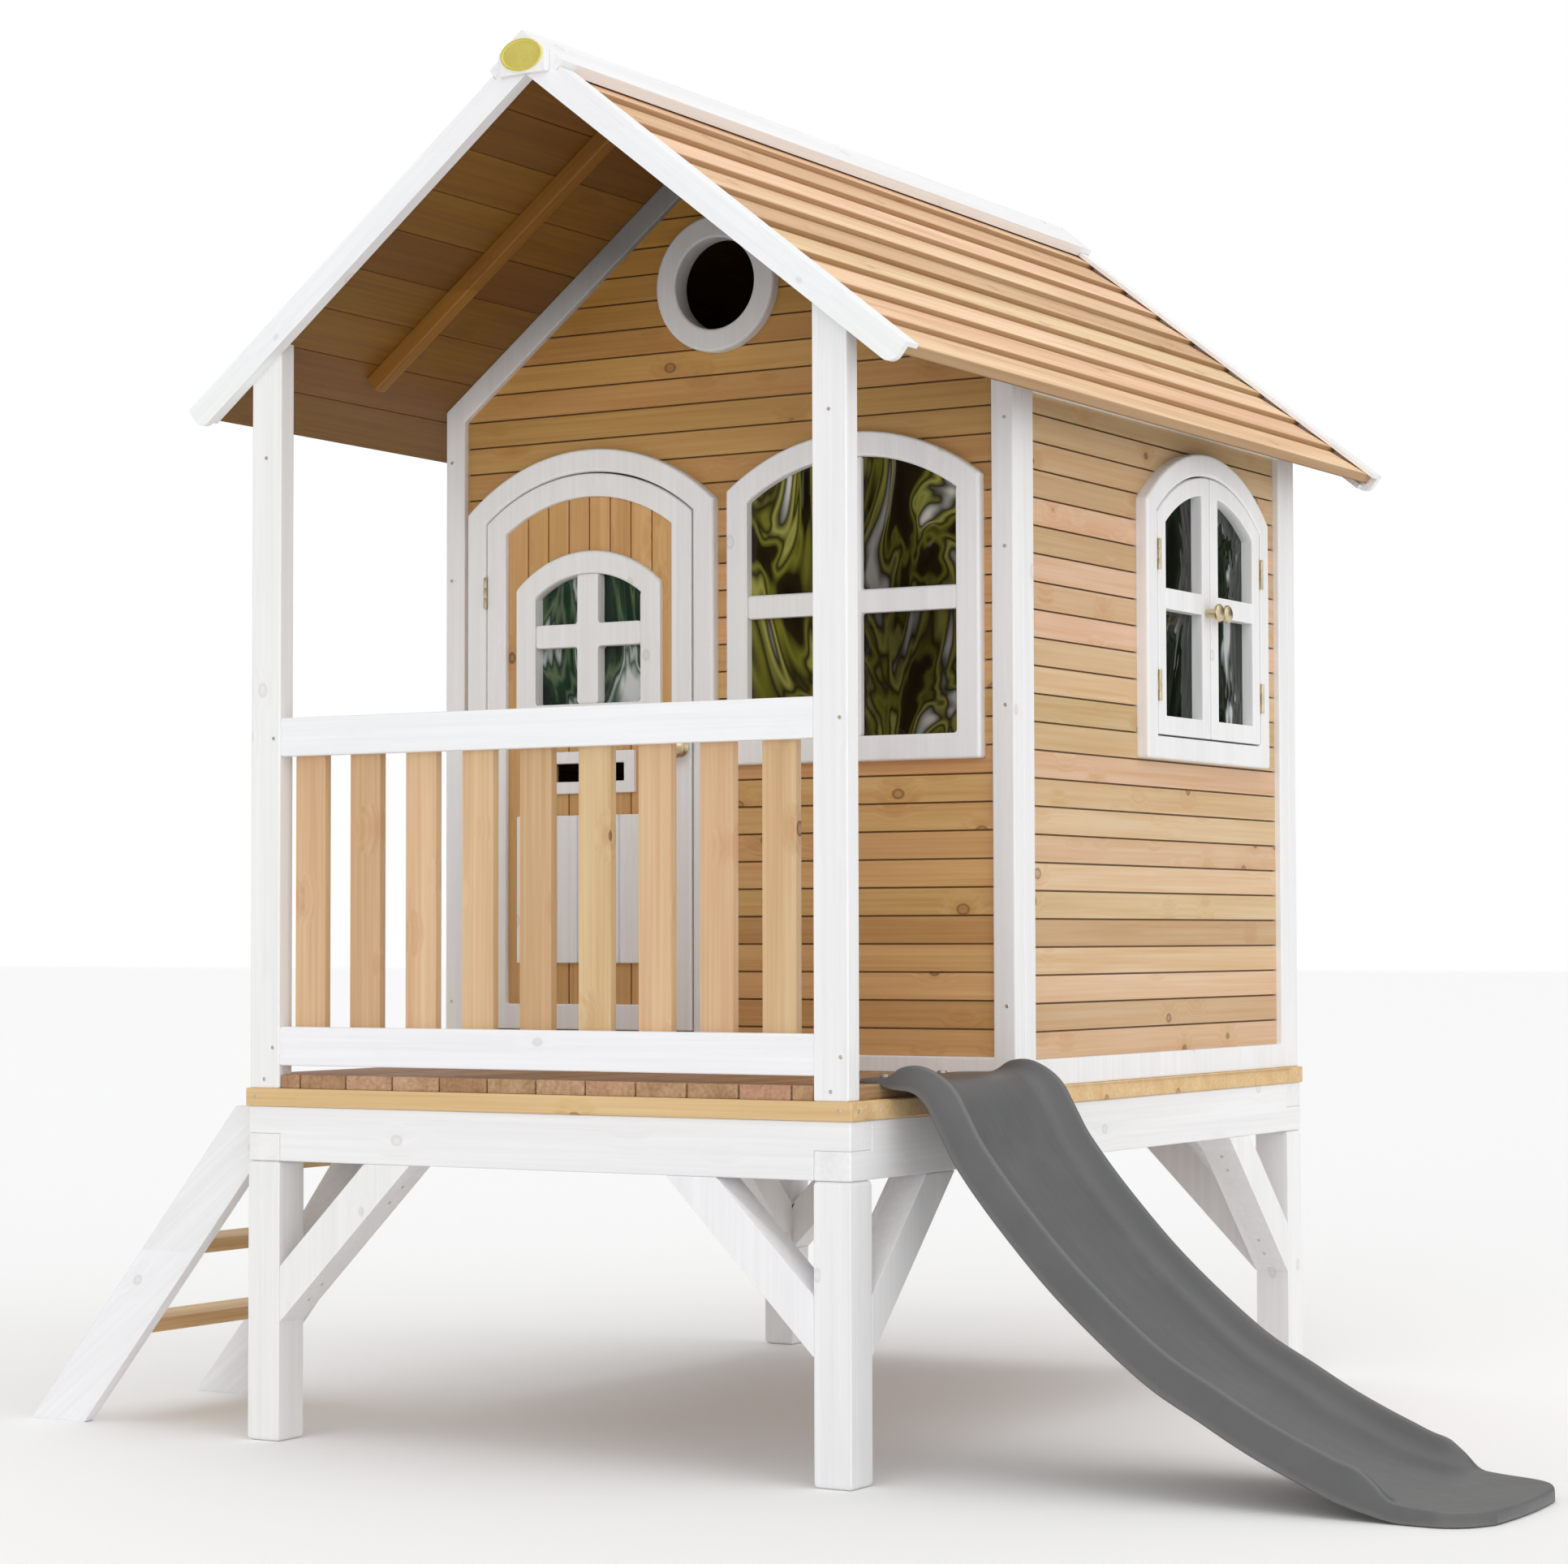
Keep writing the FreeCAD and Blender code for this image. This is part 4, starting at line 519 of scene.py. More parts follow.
class PLAYHOUSE_OT_natural_timber(bpy.types.Operator):
    """Finish the roof, deck, floor frame, balusters, treads and rafters"""
    bl_idname = "playhouse.natural_timber"
    bl_label = "Natural Timber"

    def execute(self, context):
        tones = colours()
        for side in SIDES:
            start = down_slope(side).dot(RIDGE)
            material = wood(f"roof_{side}_stain", tones.roof_pale, tones.roof_amber, grain="Y",
                            across=side, pitch=ROOF_BOARD_PITCH, start=start,
                            tone=0.20, knots=0.4, contrast=0.7, rough=0.6)
            add_roof_edges_and_painted_shade(material, side, start, tones)
            paint(f"roof_boards_{side}", material)
        low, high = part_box("balusters")
        baluster_pitch = (high.x - low.x - BALUSTER_WIDTH) / (BALUSTER_COUNT - 1)
        paint("balusters", wood("baluster_pine", tones.pine, tones.pine_shade, grain="Z", across="X",
                                pitch=baluster_pitch, start=low.x - 0.01, tone=0.15))
        low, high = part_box("deck_boards")
        paint("deck_boards", wood("deck_stain", tones.deck, tones.deck_shade, grain="Y", across="X",
                                  pitch=DECK_BOARD_PITCH, start=low.x - 0.001, tone=0.22, knots=0.6,
                                  rough=0.6))
        paint("floor_frame", wood("floor_frame_stain", tones.trim, tones.trim_shade, across="Y",
                                  pitch=1.68, start=low.y, tone=0.06, knots=0.7, contrast=0.7))
        paint("floor_joists", wood("joist_pine", tones.pine_shade, tones.deck_shade))
        paint("ladder_treads", wood("tread_pine", tones.trim, tones.trim_shade, grain="Y",
                                    pitch=TREAD_PITCH, start=0.05, tone=0.12))
        rafter = wood("rafter_pine", tones.porch_honey, tones.porch_amber, grain="slopes")
        # painted shade: the rafters under the porch roof are darkened all over
        paint_shade(rafter, (0.42, 0.31, 0.07))
        paint("roof_rafters", rafter)
        return {"FINISHED"}


def stained(material):
    """A stain's node tree, its shader and the socket that feeds its colour."""
    tree = material.node_tree
    shader = tree.nodes["Principled BSDF"]
    return tree, shader, shader.inputs["Base Color"].links[0].from_socket


def paint_shade(material, tinge, levels=None):
    """Paint shade into a stain by darkening it: everywhere, or between two levels upwards."""
    tree, shader, old = stained(material)
    amount = 1.0
    if levels:
        amount = ramp_between(tree, split(tree, object_place(tree)).outputs["Z"], *levels)
    deep = blend_colours(tree, 1.0, old, tinge, "MULTIPLY")
    tree.links.new(blend_colours(tree, amount, old, deep), shader.inputs["Base Color"])


def edge_grooves(material, foot, pitch, dark):
    """Stain gathers in the grooves between boards."""
    tree, shader, old = stained(material)
    height = split(tree, object_place(tree)).outputs["Z"]
    local = share_of_pitch(tree, height, foot, pitch)
    near = maths(tree, "MAXIMUM", ramp_between(tree, local, 0.92, 0.94),
                 ramp_between(tree, local, 0.015, 0.0))
    deep = tuple(c * 0.45 for c in dark)
    tree.links.new(blend_colours(tree, times(tree, near, 0.6), old, deep), shader.inputs["Base Color"])


def add_roof_edges_and_painted_shade(material, side, start, tones):
    """Darken the exposed lower edge of each roof board, and paint shade onto the underside."""
    tree, shader, old = stained(material)
    place = object_place(tree)
    reach = reach_along(tree, place, down_slope(side))
    local = share_of_pitch(tree, reach, start, ROOF_BOARD_PITCH)
    edge = maths(tree, "MAXIMUM", ramp_between(tree, local, 0.955, 0.99),
                 ramp_between(tree, local, 0.03, 0.0))
    edge_tone = tuple(c * 0.5 for c in tones.porch_amber)
    colour = blend_colours(tree, times(tree, edge, 0.7), old, edge_tone)
    sign = -1 if side == "left" else 1
    above = Vector((sign * math.sin(ROOF_ANGLE), 0.0, math.cos(ROOF_ANGLE)))
    lift = minus(tree, reach_along(tree, place, above), above.dot(RIDGE))
    # painted shade: the underside of each roof board is darkened to a deep olive
    under = ramp_between(tree, lift, 0.004, 0.001)
    deep = blend_colours(tree, 1.0, old, (0.24, 0.155, 0.018), "MULTIPLY")
    tree.links.new(blend_colours(tree, under, colour, deep), shader.inputs["Base Color"])


# ------------------------------------------------------------------ metal, panes and plastic
def satin_metal(name, colour, rough=0.32, dull=0.5, metal=1.0):
    """Brushed metal that has dulled in patches."""
    material, tree, shader = new_material(name)
    age = use_group(tree, "weathering", {"Vector": object_place(tree), "Scale": 40.0})
    patch = age.outputs["Patch"]
    shader.inputs["Metallic"].default_value = metal
    dark = tuple(c * dull for c in colour[:3])
    mixed = blend_colours(tree, times(tree, patch, 0.6), colour, dark)
    tree.links.new(mixed, shader.inputs["Base Color"])
    tree.links.new(ramp_between(tree, patch, 0.0, 1.0, rough, rough + 0.2), shader.inputs["Roughness"])
    return material


def pane_with_painted_reflections(name, tones, share):
    """Thin clear sheet that was never quite flat, with painted reflections: swirls of the given tones
    are painted into its colour, drawn out as the wavy sheet would draw out what it mirrors.
    """
    material, tree, shader = new_material(name)
    squeezed = stretched(tree, object_place(tree), (1.0, 1.0, 0.55))
    # painted reflections: the swirls below are painted into the sheet's colour, with darker patches
    waves = noise(tree, squeezed, 5.0, Distortion=2.6)
    ramp = node(tree, "ShaderNodeValToRGB", {"Fac": waves})
    steps = ramp.color_ramp.elements
    steps.remove(steps[1])
    levels = (0.30, 0.42, 0.47, 0.51, 0.55, 0.59, 0.66)
    steps[0].position = levels[0]
    for level in levels[1:]:
        steps.new(level)
    for step, tone in zip(steps, tones):
        step.color = (*rgb(*tone), 1.0)
    patch = ramp_between(tree, noise(tree, squeezed, 2.3, 1.0), 0.30, 0.50)
    colour = blend_colours(tree, patch, rgb(*tones[0]), ramp.outputs["Color"])
    tree.links.new(colour, shader.inputs["Base Color"])
    tree.links.new(ramp_between(tree, patch, 0.0, 1.0, 1.0 - share * 0.7, 1.0 - share),
                   shader.inputs["Transmission Weight"])
    bump = node(tree, "ShaderNodeBump", {"Height": waves, "Strength": 0.6, "Distance": 0.012})
    tree.links.new(bump.outputs[0], shader.inputs["Normal"])
    shader.inputs["Roughness"].default_value = 0.03
    shader.inputs["IOR"].default_value = 1.35
    return material


def slide_plastic():
    """Rotation-moulded plastic: fine texture, soft scuffs, paler rims."""
    material, tree, shader = new_material("moulded_grey_plastic")
    tones = colours()
    place = object_place(tree)
    age = use_group(tree, "weathering", {"Vector": place, "Scale": 9.0})
    edges = node(tree, "ShaderNodeNewGeometry").outputs["Pointiness"]
    worn = ramp_between(tree, edges, 0.51, 0.56)
    streak_place = node(tree, "ShaderNodeMapping", {
        "Vector": place, "Rotation": (0.0, math.radians(45), 0.0), "Scale": (1.0, 30.0, 1.0)}).outputs[0]
    streaks = ramp_between(tree, noise(tree, streak_place, 3.0, 4.0), 0.45, 0.8)
    colour = blend_colours(tree, times(tree, streaks, 0.18), tones.slide, tones.slide_worn)
    for mask, share, tone in (
        (age.outputs["Patch"], 0.22, tones.slide_worn), (worn, 0.75, tones.slide_worn),
        (age.outputs["Speck"], 0.25, (0.03, 0.03, 0.03)),
    ):
        colour = blend_colours(tree, times(tree, mask, share), colour, tone)
    tree.links.new(colour, shader.inputs["Base Color"])
    tree.links.new(ramp_between(tree, age.outputs["Patch"], 0.0, 1.0, 0.42, 0.58),
                   shader.inputs["Roughness"])
    grit = noise(tree, place, 420.0)
    bump = node(tree, "ShaderNodeBump", {"Height": grit, "Strength": 0.12, "Distance": 0.001})
    tree.links.new(bump.outputs[0], shader.inputs["Normal"])
    return material


class PLAYHOUSE_OT_fittings(bpy.types.Operator):
    """Finish the hinges, casement knobs, bolts and clear sheets"""
    bl_idname = "playhouse.fittings"
    bl_label = "Fittings"

    def execute(self, context):
        brass = satin_metal("satin_brass", colours().brass, 0.3)
        steel = satin_metal("plated_steel", rgb(0.86, 0.85, 0.82), 0.35, 0.8)
        # painted reflections: the tones that each pane's swirls and highlights are painted in
        olive_reflection = ((0.10, 0.07, 0.04), (0.17, 0.14, 0.07), (0.50, 0.49, 0.18), (0.18, 0.16, 0.08),
                 (0.66, 0.65, 0.33), (0.22, 0.20, 0.13), (0.93, 0.93, 0.90))
        green_reflection = ((0.12, 0.15, 0.13), (0.20, 0.30, 0.22), (0.44, 0.52, 0.40), (0.18, 0.26, 0.22),
                 (0.85, 0.88, 0.88), (0.34, 0.46, 0.36), (0.93, 0.94, 0.94))
        panes = {"front_window_pane": pane_with_painted_reflections("olive_swirls", olive_reflection, 0.85)}
        panes["door_window_pane"] = pane_with_painted_reflections("green_swirls", green_reflection, 0.65)
        night_reflection = ((0.05, 0.06, 0.06), (0.08, 0.10, 0.09), (0.16, 0.19, 0.15), (0.07, 0.09, 0.08),
                 (0.22, 0.25, 0.22), (0.10, 0.12, 0.10), (0.80, 0.82, 0.82))
        other_pane = pane_with_painted_reflections("dark_swirls", night_reflection, 0.80)
        for name in NODES:
            if "hinge" in name or "fittings" in name:
                paint(name, brass)
            elif name == "slide_bolts":
                paint(name, steel)
            elif is_pane(name):
                paint(name, panes.get(name, other_pane))
        MATERIALS["brass"] = brass
        MATERIALS["steel"] = steel
        return {"FINISHED"}


# ------------------------------------------------------------------ slide
def smooth_line(points, count):
    """Evenly spaced points on a smooth curve through the given ones."""
    dense = []
    for i in range(len(points) - 1):
        a = points[max(i - 1, 0)]
        b = points[i]
        c = points[i + 1]
        d = points[min(i + 2, len(points) - 1)]
        for step in range(24):
            t = step / 24
            dense.append(0.5 * (2 * b + (c - a) * t + (2 * a - 5 * b + 4 * c - d) * t * t
                                + (3 * b - a - 3 * c + d) * t * t * t))
    dense.append(points[-1])
    lengths = [0.0]
    for first, second in zip(dense, dense[1:]):
        lengths.append(lengths[-1] + (second - first).length)
    evenly = []
    place = 0
    for i in range(count):
        goal = lengths[-1] * i / (count - 1)
        while place < len(dense) - 2 and lengths[place + 1] < goal:
            place += 1
        part = (goal - lengths[place]) / max(lengths[place + 1] - lengths[place], 1e-9)
        evenly.append(dense[place].lerp(dense[place + 1], min(part, 1.0)))
    return evenly


def lookup(pairs, value):
    """A value read from a short list of places and values, with smooth steps between them."""
    if value <= pairs[0][0]:
        return pairs[0][1]
    for (x0, y0), (x1, y1) in zip(pairs, pairs[1:]):
        if value <= x1:
            t = (value - x0) / (x1 - x0)
            t = t * t * (3 - 2 * t)
            return y0 + (y1 - y0) * t
    return pairs[-1][1]


class PLAYHOUSE_OT_slide(bpy.types.Operator):
    """Mould the slide: a dished bed between slim round rims, with a hump and a rounded run-out"""
    bl_idname = "playhouse.slide"
    bl_label = "Slide"

    def execute(self, context):
        low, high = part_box("slide_chute")
        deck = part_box("deck_boards")[1].z
        edge = DECK_HIGH.x
        reach = high.x - edge
        # the bed's line, out from the platform's edge and up from the ground
        bed = [(-0.078, deck + 0.0068), (-0.040, deck + 0.0070), (0.010, deck + 0.0072),
               (0.050, deck + 0.003), (0.078, deck - 0.020), (0.104, deck - 0.066),
               (0.138, 0.500), (0.213, 0.409), (0.313, 0.306), (0.443, 0.199), (0.540, 0.143),
               (0.623, 0.098), (0.719, 0.056), (0.781, 0.040), (0.830, 0.032), (0.900, 0.026),
               (reach - 0.001, 0.024)]
        line = smooth_line([Vector((edge + x, z)) for x, z in bed], 110)
        # the rims' height above the bed, and the skirt's depth below it, out from the edge
        rims = [(-0.078, 0.0), (-0.012, 0.0), (0.022, 0.021), (0.052, 0.0275), (0.092, 0.040),
                (0.150, 0.042), (0.700, 0.042), (0.770, 0.038), (0.806, 0.023), (0.823, 0.005),
                (0.835, 0.0)]
        skirts = [(-0.078, 0.0062), (-0.014, 0.0066), (-0.008, 0.0150), (0.020, 0.0180), (0.060, 0.0200),
                  (0.130, 0.0190), (0.700, 0.0190), (0.790, 0.0260), (0.850, 0.0290), (reach, 0.0235)]
        half = (high.y - low.y) / 2
        middle = (high.y + low.y) / 2
        end_corner, end_bow, bow_reach = 0.080, 0.018, 0.15
        lip_corner, lip_reach = 0.060, 0.040
        # half of the section: distance in from the side, share of the rim's height, drop below that
        section = [
            (0.0, None, 0.0), (0.0012, None, 0.004), (0.0035, 0.90, 0.004), (0.0042, 0.97, 0.0016),
            (0.0070, 1.0, 0.0), (0.0110, 1.0, 0.0), (0.0150, 0.97, 0.0004), (0.0175, 0.88, 0.001),
            (0.0200, 0.74, 0.0), (0.0245, 0.50, 0.0), (0.0310, 0.29, 0.0), (0.0400, 0.13, 0.0),
            (0.0520, 0.04, 0.0), (0.0680, 0.0, 0.0), (0.1050, 0.0, 0.0010), (0.1500, 0.0, 0.0018),
            (half, 0.0, 0.0022)]
        across = 2 * len(section) - 1
        rows = len(line) + 2
        deselect()
        bpy.ops.mesh.primitive_grid_add(x_subdivisions=rows - 1, y_subdivisions=across - 1, size=1.0)
        slide = context.object
        slide.name = "slide"
        for vertex in slide.data.vertices:
            i = round((vertex.co.x + 0.5) * (rows - 1))
            j = round((vertex.co.y + 0.5) * (across - 1))
            station = min(i, len(line) - 1)
            point = line[station]
            along = (line[min(station + 1, len(line) - 1)] - line[max(station - 1, 0)]).normalized()
            up = Vector((-along.y, along.x))
            out = point.x - edge
            rim = lookup(rims, out)
            skirt = lookup(skirts, out)
            side = -1 if j < across // 2 else 1
            inward, share, below = section[min(j, across - 1 - j)]
            if share is None:
                rise = -skirt if below == 0 else -skirt + (skirt + rim) * 0.45
            else:
                rise = rim * share - below * min(rim / 0.03 + 0.25, 1.0)
            # round corners and a slightly bowed end in plan, and rounded corners on the lip
            tuck = max(0.0, point.x - (high.x - end_corner)) / end_corner
            inset = end_corner * (1 - math.sqrt(max(1 - tuck * tuck, 0.0)))
            tongue = max(0.0, (low.x + lip_reach - point.x) / lip_reach)
            inset += lip_corner * (1 - math.sqrt(max(1 - tongue * tongue, 0.0)))
            width = half - inset
            y = side * width * (1 - inward / half)
            x = point.x + up.x * rise
            if i >= len(line):
                x += 0.0006
                rise = -skirt if i == rows - 1 else min(rise, 0.0) - 0.006
            ending = max(0.0, (point.x - (high.x - bow_reach)) / bow_reach)
            x -= end_bow * ending * ending * (y / half) ** 2
            vertex.co = Vector((x, middle + y, max(point.y + up.y * rise, GROUND_GAP)))
        bpy.ops.object.mode_set(mode="EDIT")
        bpy.ops.mesh.select_all(action="SELECT")
        bpy.ops.mesh.remove_doubles(threshold=0.00005)
        bpy.ops.mesh.normals_make_consistent(inside=False)
        bpy.ops.object.mode_set(mode="OBJECT")
        mid_bed = Vector((edge + 0.4, middle, 0.25))
        if min(slide.data.polygons, key=lambda face: (face.center - mid_bed).length).normal.z < 0:
            slide.data.flip_normals()
        wall = slide.modifiers.new("wall", "SOLIDIFY")
        wall.thickness = sizes().slide_wall
        wall.offset = -1.0
        smooth = slide.modifiers.new("smooth", "SUBSURF")
        smooth.levels = 1
        smooth.render_levels = 1
        for modifier in list(slide.modifiers):
            bpy.ops.object.modifier_apply(modifier=modifier.name)
        bpy.ops.object.shade_smooth()
        place_in_mesh(slide)
        slide.data.materials.append(slide_plastic())
        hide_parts("slide_chute")
        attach(slide, "frame")
        return {"FINISHED"}


def place_in_mesh(thing):
    """Move an object's place, turn and size into its mesh."""
    thing.data.transform(thing.matrix_world)
    thing.matrix_world = Matrix.Identity(4)


# ------------------------------------------------------------------ turned and small pieces
def pick_faces(thing, wanted):
    """Go into edit mode on a piece, with only the wanted faces selected."""
    bpy.ops.object.mode_set(mode="EDIT")
    mesh = bmesh.from_edit_mesh(thing.data)
    for face in mesh.faces:
        face.select = wanted(face)
    bmesh.update_edit_mesh(thing.data)


def add_piece(name, body, material, replaced=()):
    """Name the active object, put its place in its mesh, and give it its finish, slot and body."""
    thing = bpy.context.object
    thing.name = name
    place_in_mesh(thing)
    thing.data.materials.clear()
    thing.data.materials.append(material)
    if replaced:
        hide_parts(*replaced)
    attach(thing, body)
    return thing


class PLAYHOUSE_OT_door_knob(bpy.types.Operator):
    """Turn the door's knob: a rose, a waisted neck and a round head"""
    bl_idname = "playhouse.door_knob"
    bl_label = "Door Knob"

    def execute(self, context):
        low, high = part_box("door_knob")
        centre = (low + high) / 2
        reach = high.y - low.y
        deselect()
        rose_radius, rose_depth, head_radius = 0.015, 0.003, 0.0165
        bpy.ops.mesh.primitive_cylinder_add(vertices=40, radius=rose_radius, depth=rose_depth,
                                            location=(centre.x, high.y - rose_depth / 2, centre.z),
                                            rotation=(math.radians(90), 0, 0))
        thing = context.object
        place_in_mesh(thing)
        # each step outwards: how much the radius grows or shrinks, and the step's length
        profile_depth = 0.0292
        profile = [(0.2, 0.0), (-0.35, 0.004), (-0.1, 0.006), (0.45, 0.004), (0.35, 0.004), (0.1, 0.005),
                   (-0.25, 0.004), (-0.6, 0.002)]
        pick_faces(thing, lambda face: face.normal.y < -0.9)
        radius = rose_radius
        used = rose_depth
        for grow, step in profile:
            step = step * (reach - rose_depth) / profile_depth
            used += step
            bpy.ops.mesh.extrude_region_move(TRANSFORM_OT_translate={"value": (0, -step, 0)})
            wanted = max(radius * (1 + grow), 0.002)
            ratio = wanted / radius
            bpy.ops.transform.resize(value=(ratio, 1, ratio),
                                     center_override=(centre.x, high.y - used, centre.z))
            radius = min(wanted, head_radius)
        bpy.ops.object.mode_set(mode="OBJECT")
        bevel = thing.modifiers.new("soft", "BEVEL")
        bevel.width = 0.0006
        bevel.segments = 2
        bevel.limit_method = "ANGLE"
        bpy.ops.object.modifier_apply(modifier="soft")
        bpy.ops.object.shade_smooth_by_angle(angle=math.radians(50))
        add_piece("turned_door_knob", "door", MATERIALS["brass"], ["door_knob"])
        return {"FINISHED"}


class PLAYHOUSE_OT_plaque(bpy.types.Operator):
    """Make the plain oval plaque at the ridge, with a raised rim"""
    bl_idname = "playhouse.plaque"
    bl_label = "Plaque"

    def execute(self, context):
        low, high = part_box("ridge_plaque")
        centre = (low + high) / 2
        depth = high.y - low.y
        half = (high - low) / 2
        deselect()
        bpy.ops.mesh.primitive_cylinder_add(vertices=64, radius=1.0, depth=depth * 0.7,
                                            location=(centre.x, high.y - depth * 0.35, centre.z),
                                            rotation=(math.radians(90), 0, 0))
        thing = context.object
        thing.scale = (half.x, half.z, 1.0)
        bpy.context.view_layer.update()
        place_in_mesh(thing)
        pick_faces(thing, lambda face: face.normal.y < -0.9)
        # from the rim inwards: the width of each ring, and its lift as a share of the depth
        rings = ((0.0006, -0.3), (0.003, 0.0), (0.001, 0.35), (0.006, 0.0), (0.004, -0.12))
        for thickness, lift in rings:
            bpy.ops.mesh.inset(thickness=thickness, depth=0.0)
            if lift:
                bpy.ops.transform.translate(value=(0, lift * depth, 0))
        bpy.ops.object.mode_set(mode="OBJECT")
        bpy.ops.object.shade_smooth_by_angle(angle=math.radians(30))
        gilt = satin_metal("gilt", colours().plaque, 0.25, 0.8, 0.4)
        add_piece("plain_oval_plaque", "frame", gilt, ["ridge_plaque"])
        return {"FINISHED"}


def screw_places():
    """Where the visible screws are: a place and the way each head faces."""
    places = []
    low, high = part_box("floor_frame")
    z = (low.z + high.z) / 2
    for x in (low.x + 0.022, high.x - 0.022):
        places += [((x, low.y, z), (0, -1, 0)), ((x, high.y, z), (0, 1, 0))]
    for y in (low.y + 0.022, high.y - 0.022):
        places += [((low.x, y, z), (-1, 0, 0)), ((high.x, y, z), (1, 0, 0))]
    for side in SIDES:
        low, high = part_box(f"porch_post_{side}")
        x = (low.x + high.x) / 2
        places += [((x, low.y, low.z + 0.015), (0, -1, 0)), ((x + 0.018, low.y, 1.20), (0, -1, 0)),
                   ((x + 0.018, low.y, 0.67), (0, -1, 0)), ((x, low.y, high.z - 0.20), (0, -1, 0))]
    low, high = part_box("front_wall_frame")
    for x in (low.x + 0.014, high.x - 0.016):
        for z in (0.74, 1.25, 1.52, 1.74):
            places.append(((x, low.y, z), (0, -1, 0)))
    # two screws at each end of every knee brace, on its lower face
    low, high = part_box("legs")
    slant = math.sqrt(0.5)
    for run, other in ((0, 1), (1, 0)):
        for middle in (low[other] + LEG_SIDE / 2, high[other] - LEG_SIDE / 2):
            for start, sign in ((low[run] + LEG_SIDE, 1), (high[run] - LEG_SIDE, -1)):
                for share in (0.14, 0.24, 0.76, 0.86):
                    place = [0.0, 0.0, high.z - BRACE_SPAN * (1 - share)]
                    facing = [0.0, 0.0, -slant]
                    place[run] = start + sign * BRACE_SPAN * share
                    place[other] = middle
                    facing[run] = sign * slant
                    places.append((place, facing))
    return places


class PLAYHOUSE_OT_screws(bpy.types.Operator):
    """Set small countersunk screws where the timbers are joined"""
    bl_idname = "playhouse.screws"
    bl_label = "Screws"

    def execute(self, context):
        radius = sizes().screw_head
        deselect()
        bpy.ops.mesh.primitive_cylinder_add(vertices=16, radius=radius, depth=0.0012,
                                            location=(0, 0, 0.0002))
        model = context.object
        pick_faces(model, lambda face: face.normal.z > 0.9)
        bpy.ops.mesh.inset(thickness=radius * 0.18, depth=0.0003)
        bpy.ops.mesh.inset(thickness=radius * 0.30, depth=0.0)
        bpy.ops.mesh.inset(thickness=radius * 0.10, depth=-0.0008)
        bpy.ops.object.mode_set(mode="OBJECT")
        place_in_mesh(model)
        copies = []
        for place, facing in screw_places():
            copy = bpy.data.objects.new("screw", model.data.copy())
            context.scene.collection.objects.link(copy)
            turn = Vector(facing).to_track_quat("Z", "Y").to_matrix().to_4x4()
            copy.data.transform(Matrix.Translation(Vector(place)) @ turn)
            copies.append(copy)
        bpy.data.objects.remove(model)
        deselect()
        for copy in copies:
            copy.select_set(True)
        context.view_layer.objects.active = copies[0]
        bpy.ops.object.join()
        add_piece("screw_heads", "frame", MATERIALS["steel"])
        return {"FINISHED"}


# ------------------------------------------------------------------ stage
class PLAYHOUSE_OT_stage(bpy.types.Operator):
    """Set the floor, the white sky and the soft lights"""
    bl_idname = "playhouse.stage"
    bl_label = "Stage"

    def execute(self, context):
        scene = context.scene
        scene.view_settings.view_transform = "Standard"
        deselect()
        bpy.ops.mesh.primitive_plane_add(size=160.0, location=(0, 0, 0))
        floor = context.object
        floor.name = "floor"
        material, tree, shader = new_material("pale_floor")
        shader.inputs["Base Color"].default_value = (0.93, 0.93, 0.93, 1.0)
        shader.inputs["Roughness"].default_value = 0.95
        shader.inputs["Specular IOR Level"].default_value = 0.1
        floor.data.materials.append(material)
        set_world(scene)
        aim = Vector((0.0, 0.0, 1.0))
        for name, place, spread, power in (
            ("key_sun", (1.5, -4.0, 6.5), 50.0, 0.40),
            ("fill_sun", (5.0, -0.6, 2.4), 70.0, 1.08),
            ("porch_sun", (1.6, -6.0, 1.1), 60.0, 1.25),
            ("top_sun", (1.5, 0.5, 8.0), 60.0, 0.65),
            ("back_sun", (-4.0, 4.0, 5.0), 70.0, 0.5),
        ):
            light = bpy.data.objects.new(name, bpy.data.lights.new(name, "SUN"))
            scene.collection.objects.link(light)
            light.data.angle = math.radians(spread)
            light.data.energy = power
            light.location = place
            light.rotation_euler = (aim - Vector(place)).to_track_quat("-Z", "Y").to_euler()
        return {"FINISHED"}


def set_world(scene):
    """A white sky, with foliage tones in what glossy surfaces reflect of its lower part."""
    world = bpy.data.worlds.new("studio")
    scene.world = world
    world.use_nodes = True
    tree = world.node_tree
    sky = tree.nodes["Background"]
    place = node(tree, "ShaderNodeTexCoord").outputs["Generated"]
    leaves = ramp_between(tree, noise(tree, place, 9.0, 6.0), 0.42, 0.62)
    foliage = blend_colours(tree, leaves, (0.010, 0.013, 0.006), (0.20, 0.22, 0.07))
    height = split(tree, place).outputs["Z"]
    glossy = node(tree, "ShaderNodeLightPath").outputs["Is Glossy Ray"]
    low_band = times(tree, ramp_between(tree, height, 0.45, 0.25), glossy)
    colour = blend_colours(tree, low_band, (1.0, 1.0, 1.0), foliage)
    tree.links.new(colour, sky.inputs["Color"])
    seen = node(tree, "ShaderNodeLightPath").outputs["Is Camera Ray"]
    tree.links.new(ramp_between(tree, seen, 0.0, 1.0, 0.48, 1.0), sky.inputs["Strength"])


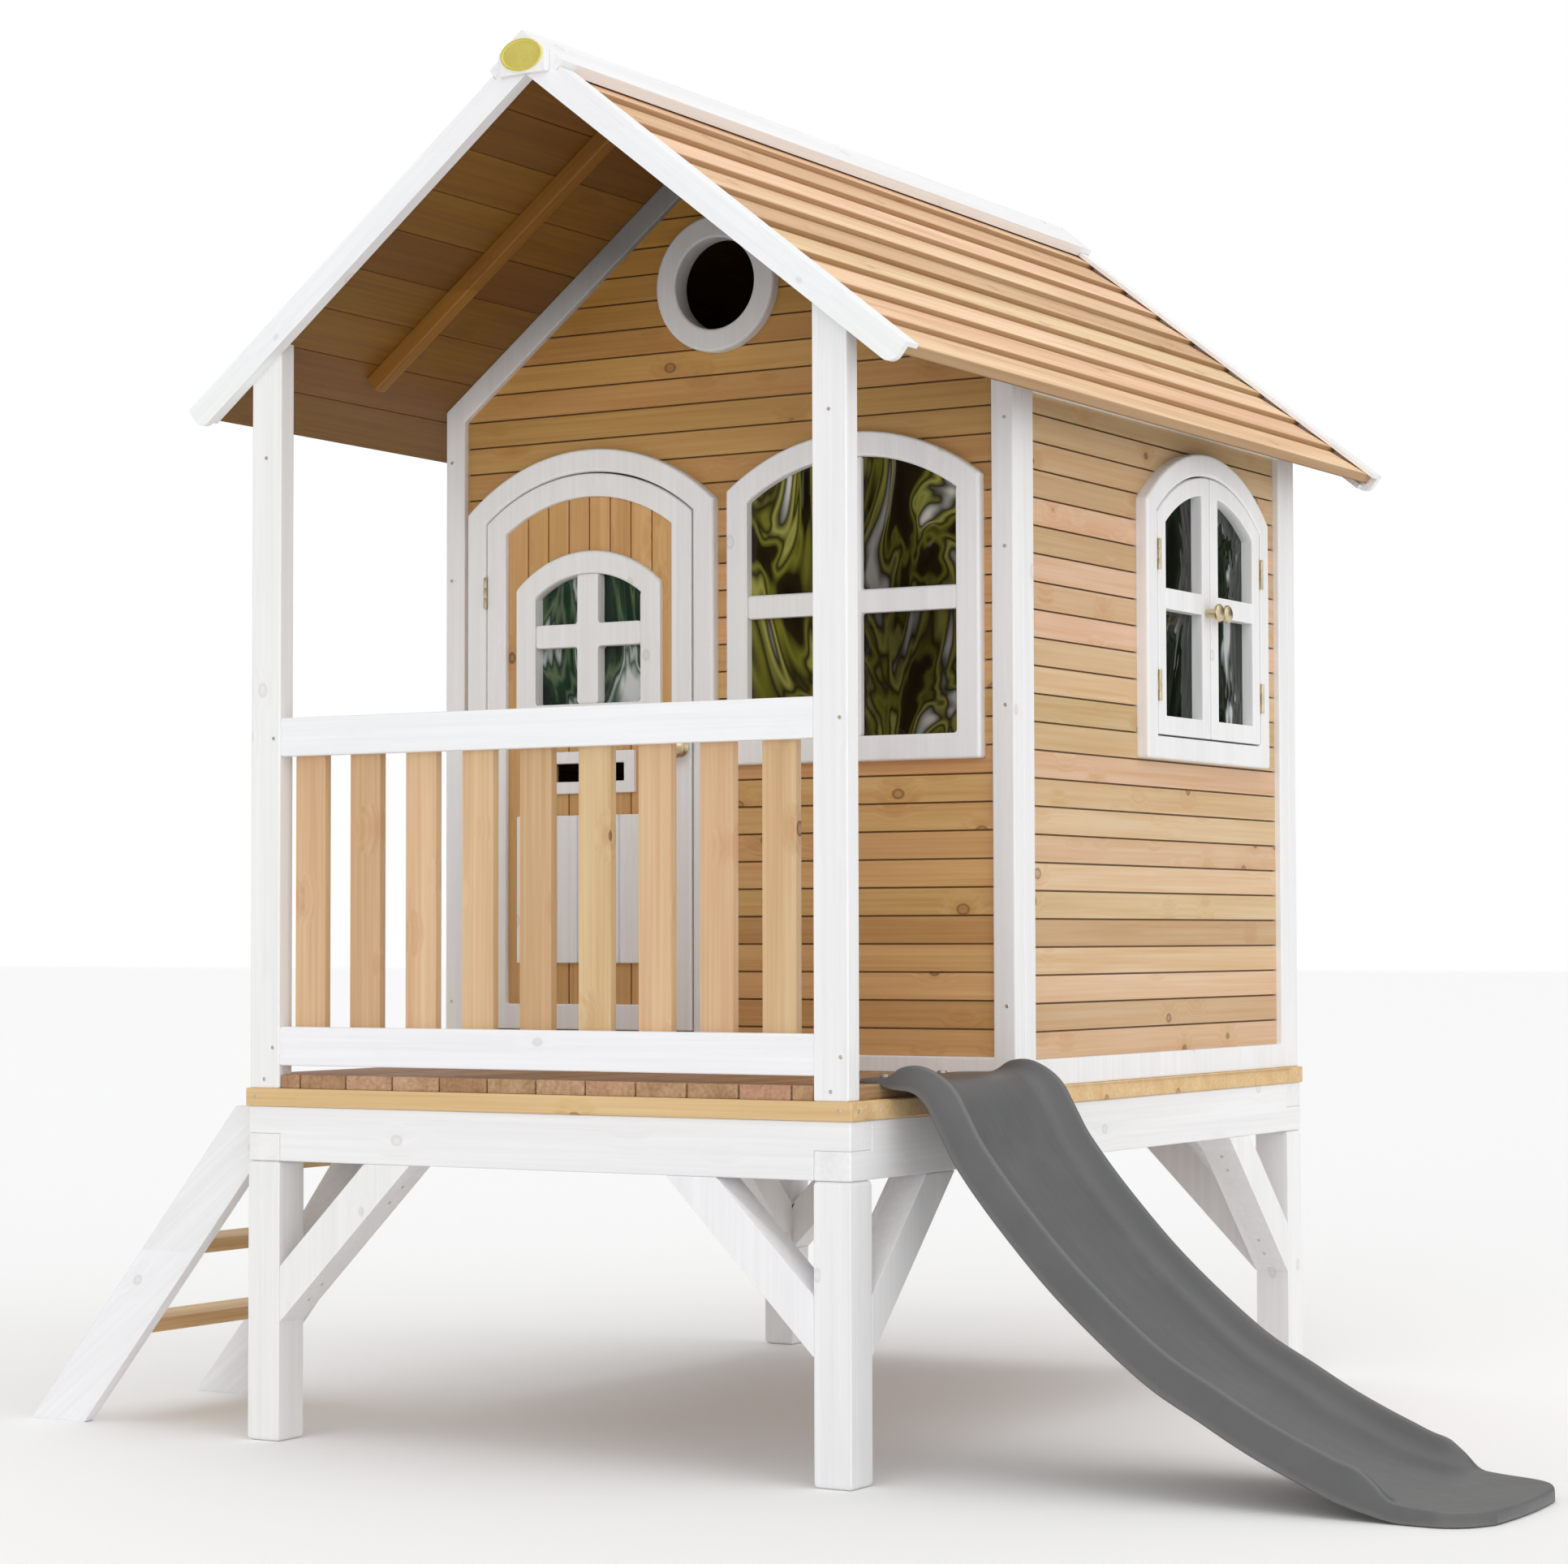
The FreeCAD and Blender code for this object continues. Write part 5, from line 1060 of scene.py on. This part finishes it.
class PLAYHOUSE_OT_camera(bpy.types.Operator):
    """Place the camera low in front of the slide's corner"""
    bl_idname = "playhouse.camera"
    bl_label = "Camera"

    def execute(self, context):
        data = bpy.data.cameras.new("camera")
        camera = bpy.data.objects.new("camera", data)
        context.scene.collection.objects.link(camera)
        data.sensor_width = 36.0
        data.lens = 84.2
        data.clip_end = 200.0
        heading, tilt, roll = (math.radians(angle) for angle in (30.864, 92.43, -0.134))
        turn = (Matrix.Rotation(heading, 4, "Z") @ Matrix.Rotation(tilt, 4, "X")
                @ Matrix.Rotation(roll, 4, "Z"))
        place = CORNER + Vector((4.038, -4.9502, 0.8563))
        camera.matrix_world = Matrix.Translation(place) @ turn
        context.scene.camera = camera
        return {"FINISHED"}


class PLAYHOUSE_PT_panel(bpy.types.Panel):
    """Playhouse tools and settings"""
    bl_label = "Playhouse"
    bl_idname = "PLAYHOUSE_PT_panel"
    bl_space_type = "VIEW_3D"
    bl_region_type = "UI"
    bl_category = "Playhouse"

    def draw(self, context):
        for operator in OPERATORS:
            self.layout.operator(operator.bl_idname)
        for group in (context.scene.playhouse_colours, context.scene.playhouse_sizes):
            box = self.layout.box()
            for name in group.bl_rna.properties.keys():
                if name not in ("rna_type", "name"):
                    box.prop(group, name)


OPERATORS = (
    PLAYHOUSE_OT_camera, PLAYHOUSE_OT_round_timber, PLAYHOUSE_OT_white_frames, PLAYHOUSE_OT_honey_boards,
    PLAYHOUSE_OT_natural_timber, PLAYHOUSE_OT_fittings, PLAYHOUSE_OT_slide, PLAYHOUSE_OT_door_knob,
    PLAYHOUSE_OT_plaque, PLAYHOUSE_OT_screws, PLAYHOUSE_OT_stage,
)
CLASSES = (PlayhouseColours, PlayhouseSizes, *OPERATORS, PLAYHOUSE_PT_panel)


def register():
    for cls in CLASSES:
        bpy.utils.register_class(cls)
    bpy.types.Scene.playhouse_colours = bpy.props.PointerProperty(type=PlayhouseColours)
    bpy.types.Scene.playhouse_sizes = bpy.props.PointerProperty(type=PlayhouseSizes)


def unregister():
    del bpy.types.Scene.playhouse_sizes
    del bpy.types.Scene.playhouse_colours
    for cls in reversed(CLASSES):
        bpy.utils.unregister_class(cls)


def main():
    register()
    for operator in OPERATORS:
        getattr(bpy.ops.playhouse, operator.bl_idname.split(".")[1])()


if __name__ == "__main__":
    main()
